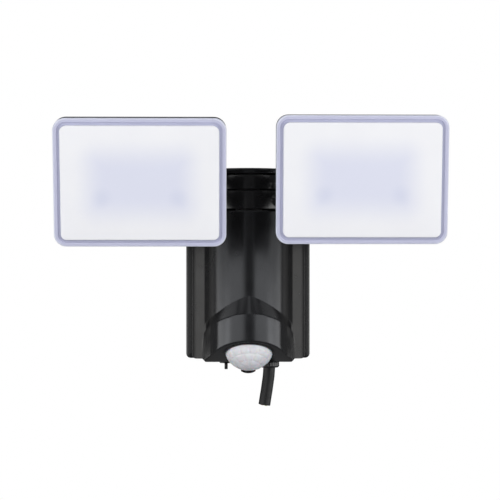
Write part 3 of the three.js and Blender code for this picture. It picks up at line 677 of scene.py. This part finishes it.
def shell_column(x, inset=0.0, sink=0.0):
    """Points (y, z, rounding) up the front at one place across it, from back to back.

    The inset is 0 for the outer surface and the wall's thickness for the lining.
    """
    def depth(z):
        return front_depth(x, z)

    low, high = shell_bottom(x) + inset, BODY_TOP - corner_pull(x) - inset
    wing = WING_Y + wing_fall(x) + sink + inset
    back = BACK_Y + LINING_BACK * bool(inset)
    lip = low
    for _ in range(6):
        lip = max(low + 1.1 * inset, BODY_BOTTOM + 1.15 * inset + UNDERSIDE_RISE * depth(lip))
    start = clamped((low - BODY_BOTTOM - inset) / UNDERSIDE_RISE, 0, depth(lip))
    arc, crease = max(shoulder_arc(x), lip + 2), max(chevron(x), lip + 4)
    points = [(back, low, 0), (wing - start, low, 1.0), (wing - depth(lip), lip, 1.3)]
    for share in (0.22, 0.4, 0.6, 0.78):
        z = lip + (arc - lip) * share
        points.append((wing - depth(z), z, 0))
    hump = wing - depth(crease)
    points += [(wing - depth(arc), arc, 0.9), (hump, crease, 0.3)]
    if inset:
        below_notch, behind_notch = NOTCH[0] - inset, -21.0
        return points + [
            (hump, below_notch, 0.5), (behind_notch, below_notch, 0.5), (behind_notch, high, 0.5),
            (back, high, 0),
        ]
    return points + [
        (hump, NOTCH[0], 1.0), (wing, NOTCH[0], 0.8), (wing, NOTCH[1], 0.8), (hump, NOTCH[1], 0.7),
        (hump, high, 1.0), (back, high, 0),
    ]


def column_solid(name, places, steps, inset=0.0):
    """A closed body from columns; each place is (x, sink) across the front."""
    rings = []
    for x, sink in places:
        column = filleted(shell_column(x, inset, sink), steps)
        rings.append([(x, y, z) for y, z in column])
    return skin(name, rings, crease=SHELL_CREASE)


def column_step(x):
    """Columns stand closer on the flanks, and closest where the pod's flank meets the wing."""
    if 29.5 < x < 35.5:
        return 0.17
    return 0.42 if 24 < x < 37 else 0.75


def column_places():
    """Places of the columns from side to side, with the side edges rounded."""
    inner = HALF_WIDTH - SIDE_EDGE
    half = [0.0]
    while half[-1] < inner - 0.3:
        half.append(half[-1] + column_step(half[-1]))
    half += [POD["edge"], POD["bend"], HUMP["edge"], HUMP["edge"] + 0.03, HUMP["foot"], inner]
    half = [(x, 0.0) for x in half]
    for k in range(1, 6):
        angle = math.pi / 2 * k / 5
        half.append((inner + SIDE_EDGE * math.sin(angle), SIDE_EDGE * (1 - math.cos(angle))))
    half.sort()
    return [(-x, sink) for x, sink in reversed(half[1:])] + half


def lens_frame():
    """The sensor lens's own frame: its +Z looks out of the sloping underside."""
    tilt = math.radians(180) - math.atan(UNDERSIDE_RISE)
    return Matrix.Translation(LENS["centre"] * MM) @ Matrix.Rotation(tilt, 4, "X")


def body_shell():
    """The hollow front moulding with its notch for the arms and its holes underneath."""
    shell = column_solid("body_shell_moulding", column_places(), 4)
    across = [(LINING_HALF_WIDTH * (k / 13 - 1), 0.0) for k in range(27)]
    cut(shell, [column_solid("lining", across, 2, WALL)], SHELL_CREASE)
    pin, lens = (0, PIN_Y), lens_frame()
    join(shell, [rod("boss", (0, 0, -3.2), (0, 0, -0.4), 19.4, 64, matrix=lens)], SHELL_CREASE)
    tools = [
        rod("pocket", (*pin, NOTCH[0]), (*pin, NOTCH[1]), 11.6, 64),
        rod("pin_hole", (*pin, 30), (*pin, 80), PIN_BORE, 40),
        rod("pin_seat", (*pin, BODY_TOP - 2), (*pin, 80), 7.3, 56),
        rod("opening", (0, 0, -14), (0, 0, 4), 16.0, 64, matrix=lens),
        rod("seat", (0, 0, -2), (0, 0, 4), 17.8, 64, matrix=lens),
    ]
    for centre, radius, sides in ((GLAND_MOUTH[:2], 6.3, 40), (TIME_KNOB, 3.4, 32), (LUX_KNOB, 3.4, 32)):
        tools.append(rod("floor_hole", (*centre, -76), (*centre, -69), radius, sides))
    cut(shell, tools, SHELL_CREASE)
    place(shell, "base", "black_plastic", SHELL, "body_shell")


# ------ motion sensor
# Bands of small lenses: the angles from the dome's top in degrees, and how many stand round it.
DOME_BANDS = ((0.0, 9.0, 1), (9.0, 27.0, 6), (27.0, 45.0, 10), (45.0, 62.0, 14))


def facet_bulge(polar, turn):
    """Height of the small lenses on the dome, 0 in the grooves between them."""
    degrees = math.degrees(polar)
    for k, (low, high, count) in enumerate(DOME_BANDS):
        if not low <= degrees <= high:
            continue
        if count == 1:
            return 0.22 * (1 - (degrees / high) ** 6)
        v = 2 * (degrees - low) / (high - low) - 1
        share = turn / (2 * math.pi) * count + 0.5 * (k % 2)
        u = 2 * (share - math.floor(share)) - 1
        return 0.42 * (1 - abs(u) ** 4) * (1 - abs(v) ** 4)
    return 0.0


def sensor_lens():
    """The hollow faceted dome and the ring round it."""
    radius, height = LENS["radius"], LENS["height"]
    sphere = (radius ** 2 + height ** 2) / (2 * height)
    inner = sphere - LENS["wall"]
    middle = height - sphere
    sides, rows, inner_rows = 168, 56, 12
    reach, inner_reach = math.acos(-middle / sphere), math.acos(-middle / inner)
    rings = []
    for k in range(inner_rows + 1):
        polar = inner_reach * k / inner_rows
        rings.append(circle(inner * math.sin(polar), middle + inner * math.cos(polar), sides))
    rings += [circle(r, z, sides) for r, z in ((15.9, -1.6), (17.2, -1.6), (17.5, -1.3))]
    for k in range(rows + 1):
        polar = reach * (1 - k / rows)
        ring = []
        for turn in turns(sides):
            far = sphere + facet_bulge(polar, turn)
            out = far * math.sin(polar)
            ring.append((out * math.cos(turn), out * math.sin(turn), middle + far * math.cos(polar)))
        rings.append(ring)
    dome = skin("sensor_dome", rings, lens_frame(), crease=50, cap_start=False, cap_end=False)
    place(dome, "base", "sensor_plastic", DOME, "pir_lens")
    surround = turned("sensor_ring", [
        (17.8, 0.3, 0.1), (19.2, 0.3, 0.1), (19.2, 0.6, 0.15), (18.9, 0.8, 0.1), (17.8, 0.8, 0.1),
    ], sides=96, matrix=lens_frame())
    place(surround, "base", "black_plastic", BLACK, "lens_ring")


# ------ knobs and gland
FLANGE_TOP = BODY_BOTTOM - 0.3
BLADE = {"width": 11.1, "thickness": 2.4, "sag": 1.6, "chamfer": (0.5, 1.2)}


def blade_knob(name, centre, bottom, turn, body, node):
    """A round stem and flange with a thin finger blade; the blade's end is curved."""
    stem = turned(name, [
        (0, -66.3, 0), (2.9, -66.3, 0.3), (2.9, FLANGE_TOP, 0.2), (4.9, FLANGE_TOP, 0.25),
        (4.9, FLANGE_TOP - 1.1, 0.4), (0, FLANGE_TOP - 1.1, 0),
    ], centre=centre, sides=48, closed=False)
    half, sag, top = BLADE["width"] / 2, BLADE["sag"], FLANGE_TOP - 0.2
    in_by, down_by = BLADE["chamfer"]
    radius = (half ** 2 + sag ** 2) / (2 * sag)
    reach = math.asin(half / radius)
    edge = [(-half + in_by, top), (-half, top - down_by)]
    for k in range(17):
        angle = reach * (2 * k / 16 - 1)
        edge.append((radius * math.sin(angle), bottom + radius - radius * math.cos(angle)))
    edge += [(half, top - down_by), (half - in_by, top)]
    rings = [[(u, v, w) for u, w in edge] for v in (-BLADE["thickness"] / 2, BLADE["thickness"] / 2)]
    blade = skin("blade", rings)
    soften(blade, 0.35, 3, 30)
    spin = Matrix.Rotation(math.radians(turn), 4, "Z")
    blade.data.transform(Matrix.Translation(Vector((*centre, 0)) * MM) @ spin)
    join(stem, [blade])
    place(stem, body, "black_plastic", BLACK, node)


def gland():
    """The fluted cord gland and the rubber seal in its mouth."""
    x, y, mouth = GLAND_MOUTH
    profile = filleted([
        (4.8, -66.5, 0), (6, -66.5, 0.3), (6, FLANGE_TOP, 0.1), (7.5, FLANGE_TOP, 0.3),
        (7.5, mouth + 1.1, 0.2), (6.7, mouth, 0.4), (5.9, mouth, 0.3), (5.7, -76, 0.1), (4.8, -76, 0),
    ], 3)
    flutes = fluted(profile, 144, 7.3, lambda turn: 0.28 * max(0.0, math.cos(18 * turn)) ** 2)
    rings = [[(x + u, y + v, w) for u, v, w in ring] for ring in flutes]
    body = skin("cord_gland", rings, crease=40, cyclic=True)
    place(body, "base", "black_plastic", BLACK, "gland_body")
    seal = turned("gland_grommet", [
        (4.6, mouth + 0.1, 0.2), (5.6, mouth + 0.1, 0.3), (5.6, -76.3, 0), (4.6, -76.3, 0),
    ], centre=(x, y))
    place(seal, "base", "black_rubber", RUBBER, "gland_seal")


# ------ screws
def screw(name, matrix, head_radius, head_height, shank_radius, length):
    """A pan-head screw: the head stands on z 0 and the shank goes down. Cross recess in the head."""
    head = turned(name, [
        (0, -length, 0), (shank_radius, -length, 0.3), (shank_radius, 0, 0), (head_radius, 0, 0.12),
        (head_radius, head_height * 0.45, head_height * 0.4), (head_radius * 0.82, head_height, 0.6),
        (0, head_height, 0),
    ], sides=40, closed=False)
    reach, half_slot = head_radius * 0.62, 0.38
    low, high = head_height * 0.45, head_height + 1
    cut(head, [
        block("slot_a", (-reach, -half_slot, low), (reach, half_slot, high)),
        block("slot_b", (-half_slot, -reach, low), (half_slot, reach, high)),
    ])
    head.matrix_world = matrix
    return head


def copy_of(obj, name, matrix):
    """A second object with a mesh of its own."""
    twin = obj.copy()
    twin.data = obj.data.copy()
    twin.name = name
    scene.collection.objects.link(twin)
    twin.matrix_world = matrix
    return twin


# ------ back of the body
BOSSES = ((-31, 59), (31, 59), (-31, -58), (31, -58))


def rear_cover():
    """The moulded back with its lip, ribs, hook slot and screw holes."""
    profile = filleted([
        (30, -3, 0), (5.0, -3, 0.8), (4.2, 0, 0.3), (0, 0, 0.5), (0, -6, 1.3), (30, -6, 0),
    ], 3)
    cover = framed("rear_cover_moulding", REAR_SIZE, profile, steps=6)
    lip_profile = [(0, -5.5), (0, -8.2), (2, -8.2), (2, -5.5)]
    lip = framed("lip", (75, 132.3, 4), lip_profile, cyclic=True, centre=(0, -0.2))
    join(cover, [lip, block("pocket", (-11, -9, 57), (11, -5.5, 64.5))])
    tools = [rod("screw_hole", (x, -10, z), (x, 1, z), 3.2, 32) for x, z in BOSSES]
    tools.append(block("hook_slot", (-8.4, -7, 59.2), (8.4, 1, 62.3)))
    tools.append(rod("lock_hole", (0, -3, -75), (0, -3, -60), 2, 24))
    cut(cover, tools)
    join(cover, [block("rib", (x - 0.7, -3.2, -60), (x + 0.7, -1.2, 60), 0.2) for x in (-36, 36)])
    place(cover, "base", "black_plastic", BLACK, "rear_cover")


def wall_bracket():
    """The plate on the wall with its hook, foot, keyways, slots and cable opening."""
    profile = filleted([(20, -1.5, 0), (0, -1.5, 0.35), (0, 0, 0.35), (20, 0, 0)], 2)
    plate = framed("wall_bracket_plate", (56, 126, 6), profile)
    hook = block("hook", (-8, -6.6, 60), (8, -0.3, 61.5), 0.3)
    foot = block("foot", (-8, -2.7, -65), (8, -0.3, -62.8), 0.3)
    join(plate, [hook, foot])
    tools = [block("slot", (x - 2.2, -5, -9), (x + 2.2, 5, 9), 1.5) for x in (-20, 20)]
    for z in (-45, 45):
        tools.append(rod("hole", (0, -5, z), (0, 5, z), 2.6, 32))
        tools.append(block("keyway", (-1.6, -5, z), (1.6, 5, z + 5.5)))
    tools.append(framed("cable", (20, 20, 6), [(0, -5), (0, 5)], centre=(0, -22)))
    tools.append(rod("lock", (0, -3, -70), (0, -3, -60), 1.8, 24))
    cut(plate, tools)
    soften(plate, 0.15, 1, 50)
    place(plate, "base", "steel", ZINC, "wall_bracket")


def back_screws():
    """Four screws hold the rear cover, and one underneath locks the body on its bracket."""
    for k, (x, z) in enumerate(BOSSES, 1):
        at_boss = frame_along((x, -2.7, z), (0, 1, 0))
        obj = screw(f"cover_screw_head_{k}", at_boss, 2.9, 2.2, 1.3, 15)
        # Each of the four also names the first node.
        place(obj, "base", "steel", DARK_STEEL, *sorted({"cover_screw_1", f"cover_screw_{k}"}))
    underneath = frame_along((0, -3, -72.5), (0, 0, -1))
    lock = screw("lock_screw_head", underneath, 2.8, 1.8, 1.5, 11)
    place(lock, "base", "steel", ZINC, "bracket_lock_screw")


# ------ arms
WASHERS = {"lower": NOTCH[0] + 0.3, "middle": 54.55, "upper": NOTCH[1] - 1.1}
WASHER_HEIGHT = 0.8
CLEARANCE = 0.3


def swivel():
    """The slotted pin both arms turn on, and the washers between them."""
    centre = (0, PIN_Y)
    top = BODY_TOP
    pin = turned("pivot_pin_head", [
        (0, 28, 0), (4.3, 28, 0.3), (4.3, top - 1.7, 0.2), (6.9, top - 1.7, 0.2), (6.9, top - 0.5, 0.3),
        (6.2, top - 0.1, 0.3), (0, top - 0.1, 0),
    ], centre=centre, closed=False)
    cut(pin, [block("slot", (-5, PIN_Y - 0.6, top - 0.9), (5, PIN_Y + 0.6, top + 1))])
    place(pin, "base", "steel", DARK_STEEL, "pivot_pin")
    for name, low in WASHERS.items():
        high = low + WASHER_HEIGHT
        ring = turned(f"swivel_washer_{name}", [
            (PIN_BORE, low, 0.1), (10, low, 0.2), (10, high, 0.2), (PIN_BORE, high, 0.1),
        ], steps=2, centre=centre, sides=72)
        place(ring, "base", "black_rubber", RUBBER, f"washer_{name}")


def barrel(low, high):
    """An arm's barrel: flush with the hump in front, cut back behind so that it can swing."""
    reach, steps, back = 24.5, 48, PIN_Y + 9.9
    corner = back - 0.325 * reach
    front = [reach * (2 * k / steps - 1) for k in range(steps + 1)]
    plan = [(x, WING_Y - hump_depth(x)) for x in front]
    plan += [(reach, corner), (0, back), (-reach, corner)]
    rings = [[(x, y, z) for x, y in plan] for z in (low, high)]
    return soften(skin("barrel", rings), 0.25, 2, 25)


def arm(side, below, above):
    """An arm between two washers, curving from its barrel out to the eye on the tilt axis."""
    name = "right" if side > 0 else "left"
    low, high = below + WASHER_HEIGHT + CLEARANCE, above - CLEARANCE
    middle = (low + high) / 2
    x, y, z = side * HEAD_PIVOT[0], *HEAD_PIVOT[1:]
    knots = [
        (side * 6, PIN_Y - 1.5, middle), (side * 18, PIN_Y - 2.5, middle),
        (side * 33, PIN_Y - 9, middle + (z - middle) * 0.15),
        (side * 54, PIN_Y - 13.5, middle + (z - middle) * 0.72),
        (x - side * 6.5, y + 20, z - 0.6), (x - side * 0.8, y + 11.5, z), (x, y, z),
    ]
    stem = tube(f"{name}_arm_bar", smooth_path(knots, 60), 5.0, 40)
    window = block("between", (x - 6, y - 12, z - 12), (x + 6, y + 7, z + 12))
    join(window, [block("beyond", (-200, y + 6.9, -200), (200, 100, 200))])
    combine(stem, [window], "INTERSECT")
    points = [(0, low, 0), (11, low, 0.5), (11, high, 0.5), (0, high, 0)]
    hub = turned("hub", points, steps=4, centre=(0, PIN_Y), sides=72, closed=False)
    eye = rod("eye", (x - 6, y, z), (x + 6, y, z), EYE_RADIUS, 56, 0.6)
    join(stem, [barrel(low, high), hub, eye])
    cut(stem, [
        rod("bore", (0, PIN_Y, low - 1), (0, PIN_Y, high + 1), PIN_BORE, 40),
        rod("eye_bore", (x - 10, y, z), (x + 10, y, z), BOLT_BORE, 32),
    ])
    place(stem, f"{name}_arm", "black_plastic", BLACK, f"{name}_arm")


# ------ lamp heads
SCREWS = ((-50, 36), (50, 36), (-50, -36), (50, -36))


def head_frame(side):
    """A head's own frame at rest: origin on its tilt axis, X along the axis."""
    name = "right" if side > 0 else "left"
    pivot = Matrix.Translation(Vector((side * HEAD_PIVOT[0], *HEAD_PIVOT[1:])) * MM)
    return pivot @ Matrix.Rotation(math.radians(REST_TILT[name]), 4, "X")


def housing_mesh():
    """Finned die-cast back with two ears, around the tilt axis."""
    width, height, radius = HEAD_SIZE
    profile = filleted([
        (40, -13, 0), (16.5, -13, 1.6), (6.5, -22.7, 2.0), (0.1, -27.7, 1.2), (0.1, -34.7, 0.4),
        (4, -34.7, 0), (8.75, -34.7, 0.4), (8.75, -25.7, 0), (40, -25.7, 0),
    ], 4)
    rings = []
    for inset, y in profile:
        corner = max(radius - (0.55 if y > -27 else 1) * inset, 5.0)
        ring = outline(width - 2 * inset, height - 2 * inset, corner, 8)
        rings.append([(x, y, z) for x, z in ring])
    body = skin("housing", rings, crease=30)
    ears = []
    for sign in (-1, 1):
        inner, outer = sorted((sign * 6.4, sign * 10.4))
        ear = rod("ear", (inner, 0, 0), (outer, 0, 0), EYE_RADIUS, 48, 0.5)
        root = block("root", (inner, -16, -EYE_RADIUS), (outer, 0, EYE_RADIUS), 0.3)
        ears += [ear, root]
    join(body, ears, 30)
    tools = []
    for x in (-40, -32, -24, -16, 16, 24, 32, 40):
        tools.append(block("groove", (x - 2.5, -20, -60), (x + 2.5, 5, 60)))
    tools += [rod("counterbore", (x, -29.2, z), (x, 0, z), 3.2, 28) for x, z in SCREWS]
    tools.append(rod("bore", (-20, 0, 0), (20, 0, 0), BOLT_BORE, 32))
    cut(body, tools, 30)
    return soften(body, 0.35, 2, 38, 30)


def cover_mesh():
    """Frosted cover: skirt, narrow flange with a groove, and a raised rounded panel."""
    profile = filleted([
        (30, -39.6, 0), (8.0, -39.6, 0.8), (8.0, -35, 0.2), (0.3, -35, 0.2), (0, -35.4, 0.3), (0, -39.5, 1.0),
        (2.9, -39.5, 0.3), (3.2, -38.7, 0.25), (4.9, -38.7, 0.25), (5.1, -42, 0.9), (30, -42, 0),
    ], 4)
    return framed("cover", HEAD_SIZE, profile, crease=30, steps=12, least=3.2)


def tilt_bolt_mesh():
    """A bolt along X with its hexagonal head on the -X side."""
    shank = rod("bolt", (-14.4, 0, 0), (16.4, 0, 0), 3, 40, 0.3)
    rings = [[(x, u, v) for u, v, _ in circle(5.2, 0, 6)] for x in (-14.7, -10.7)]
    head = skin("hex", rings)
    soften(head, 0.4, 2, 30)
    return join(shank, [head])


def tilt_knob_mesh():
    """Five-lobed hand knob with a collar towards the ear."""
    profile = filleted([
        (BOLT_BORE, 12.0, 0), (BOLT_BORE, 10.75, 0.1), (5.6, 10.75, 0.3), (5.6, 12.7, 0.2), (8.4, 12.9, 0.8),
        (8.4, 18.7, 1.2), (3.4, 18.7, 0.6), (2.6, 17.9, 0.4), (0, 17.9, 0),
    ], 4)
    lobes = fluted(profile, 120, 6.2, lambda turn: 1.25 * (0.5 - 0.5 * math.cos(5 * turn)) ** 1.4)
    rings = [[(w, u, v) for u, v, w in ring] for ring in lobes]
    return skin("knob", rings, crease=40, cap_end=False)


def heads():
    """Both heads from one set of meshes. The left bolt and knob are turned half round."""
    table = (
        (housing_mesh(), "housing_casting", "housing", "black_aluminium", COAT, False),
        (cover_mesh(), "frosted_cover", "lens_cover", "opal_plastic", OPAL, False),
        (tilt_bolt_mesh(), "tilt_bolt_steel", "tilt_bolt", "steel", DARK_STEEL, True),
        (tilt_knob_mesh(), "tilt_knob_moulding", "tilt_knob", "black_plastic", BLACK, True),
    )
    fixing = screw("screw", Matrix.Identity(4), 2.8, 2.3, 1.3, 9.5)
    for side, name in ((-1, "left"), (1, "right")):
        upright, body = head_frame(side), f"{name}_head"
        handed = upright if side > 0 else upright @ Matrix.Rotation(math.pi, 4, "Z")
        for model, piece_name, node, slot, paint, turns_round in table:
            obj = copy_of(model, f"{name}_{piece_name}", handed if turns_round else upright)
            place(obj, body, slot, paint, f"{name}_{node}")
        for k, (x, z) in enumerate(SCREWS, 1):
            at_boss = upright @ frame_along((x, -28.9, z), (0, 1, 0))
            obj = copy_of(fixing, f"{name}_fixing_screw_{k}", at_boss)
            place(obj, body, "steel", DARK_STEEL, f"{name}_housing_screw_{k}")
    for obj in (*[row[0] for row in table], fixing):
        bpy.data.objects.remove(obj, do_unlink=True)


# ------ carried-over CAD pieces
def paint_inside():
    """Gives the CAD pieces that stay as they are their own surfaces."""
    finishes = (
        (BOARD, "driver_board control_board sensor_board"),
        (FERRITE, "transformer"), (SLEEVE, "capacitor"), (GREY, "terminal_block"),
        (WHITE, "relay time_pot lux_pot left_reflector right_reflector left_led_board right_led_board"),
        (ZINC, "pir_sensor clamp_screw_1 clamp_screw_2 pivot_nut"),
        (BLACK, "gland_nut cord_clamp"),
        (RUBBER, "body_gasket left_lens_gasket right_lens_gasket"),
    )
    for paint, nodes in finishes:
        for node in nodes.split():
            give_material(frame["nodes"][node], paint)


body_shell()
sensor_lens()
blade_knob("time_knob_moulding", TIME_KNOB, -80.2, 90, "time_knob", "time_knob")
blade_knob("lux_knob_moulding", LUX_KNOB, -83.3, 0, "lux_knob", "lux_knob")
gland()
rear_cover()
wall_bracket()
back_screws()
swivel()
arm(1, WASHERS["lower"], WASHERS["middle"])
arm(-1, WASHERS["middle"], WASHERS["upper"])
heads()
paint_inside()


# ------ stage and light
# The studio's own lengths are in metres.
CENTRE = Vector((0, -0.05, 0.0))
PANEL_DISTANCE = 2.0
HIGH, LOW = 0.35, -0.325


def floor():
    """A plain pale floor well below the object. It neither lights the pieces nor shows in them."""
    half, level, cells = 3.4, -0.75, 8
    grid = bmesh.new()
    bmesh.ops.create_grid(grid, x_segments=cells, y_segments=cells, size=half)
    mesh = bpy.data.meshes.new("floor")
    grid.to_mesh(mesh)
    grid.free()
    obj = bpy.data.objects.new("floor", mesh)
    scene.collection.objects.link(obj)
    obj.location.z = level
    obj.visible_glossy = False
    obj.visible_diffuse = False
    paint = Paint("floor")
    glow = paint.mix(paint.mottle(3.0), (0.90, 0.90, 0.90), (0.92, 0.92, 0.92))
    paint.set(Base_Color=(0.15, 0.15, 0.15, 1), Roughness=0.9, Emission_Color=glow, Emission_Strength=1.0)
    mesh.materials.append(paint.material)


def softbox(name, azimuth, size, radiance, distance=PANEL_DISTANCE, elevation=0.0, lift=0.0,
            mirrored=True, lights=True):
    """A soft panel round the object at an azimuth from the front, as bright as its radiance.

    One that isn't mirrored only lights matt surfaces. One that doesn't light is only seen mirrored.
    """
    light = bpy.data.lights.new(name, "AREA")
    light.shape = "RECTANGLE"
    light.size, light.size_y = size
    light.energy = radiance * math.pi * size[0] * size[1]
    obj = bpy.data.objects.new(name, light)
    scene.collection.objects.link(obj)
    side, up = math.radians(azimuth), math.radians(elevation)
    direction = Vector((math.sin(side) * math.cos(up), -math.cos(side) * math.cos(up), math.sin(up)))
    middle = CENTRE + Vector((0, 0, lift))
    obj.location = middle + direction * distance
    aim(obj, middle)
    obj.visible_camera = False
    obj.visible_glossy = mirrored
    obj.visible_diffuse = lights


def background(tree, colour, strength):
    node = tree.nodes.new("ShaderNodeBackground")
    node.inputs["Color"].default_value = colour
    node.inputs["Strength"].default_value = strength
    return node


def world_light():
    """White to the camera, softer grey to everything else."""
    world = bpy.data.worlds.new("studio")
    scene.world = world
    world.use_nodes = True
    tree = world.node_tree
    tree.nodes.clear()
    output = tree.nodes.new("ShaderNodeOutputWorld")
    seen = background(tree, (1, 1, 1, 1), 1.0)
    lit = background(tree, (0.96, 0.97, 1.0, 1), 0.10)
    path = tree.nodes.new("ShaderNodeLightPath")
    mix = tree.nodes.new("ShaderNodeMixShader")
    tree.links.new(path.outputs["Is Camera Ray"], mix.inputs[0])
    tree.links.new(lit.outputs[0], mix.inputs[1])
    tree.links.new(seen.outputs[0], mix.inputs[2])
    tree.links.new(mix.outputs[0], output.inputs[0])


floor()
world_light()
for sign, name in ((-1, "left"), (1, "right")):
    softbox(f"{name}_front_panel", 40 * sign, (1.46, 2.2), 1.7, lift=HIGH)
    softbox(f"{name}_side_panel", 83.5 * sign, (1.74, 0.85), 2.6, lift=LOW)
    softbox(f"{name}_mid_panel", 66 * sign, (0.6, 0.85), 1.0, lift=LOW, lights=False)
softbox("left_inner_panel", -16.5, (0.32, 2.2), 1.0, lift=HIGH, lights=False)
softbox("right_inner_panel", 18.5, (0.18, 2.2), 0.9, lift=HIGH, lights=False)
softbox("left_rear_panel", -115, (2.2, 1.6), 0.6, elevation=45, lights=False)
softbox("right_rear_panel", 115, (2.2, 1.6), 0.42, elevation=45, lights=False)
softbox("fill_panel", 0, (2.0, 2.0), 1.25, distance=2.2, lift=0.3, mirrored=False)
softbox("top_panel", 0, (2.6, 2.6), 0.7, distance=2.2, elevation=78)
softbox("low_panel", 0, (1.6, 1.6), 0.12, distance=0.68, elevation=-88)
scene.view_settings.view_transform = "Standard"
scene.view_settings.look = "None"
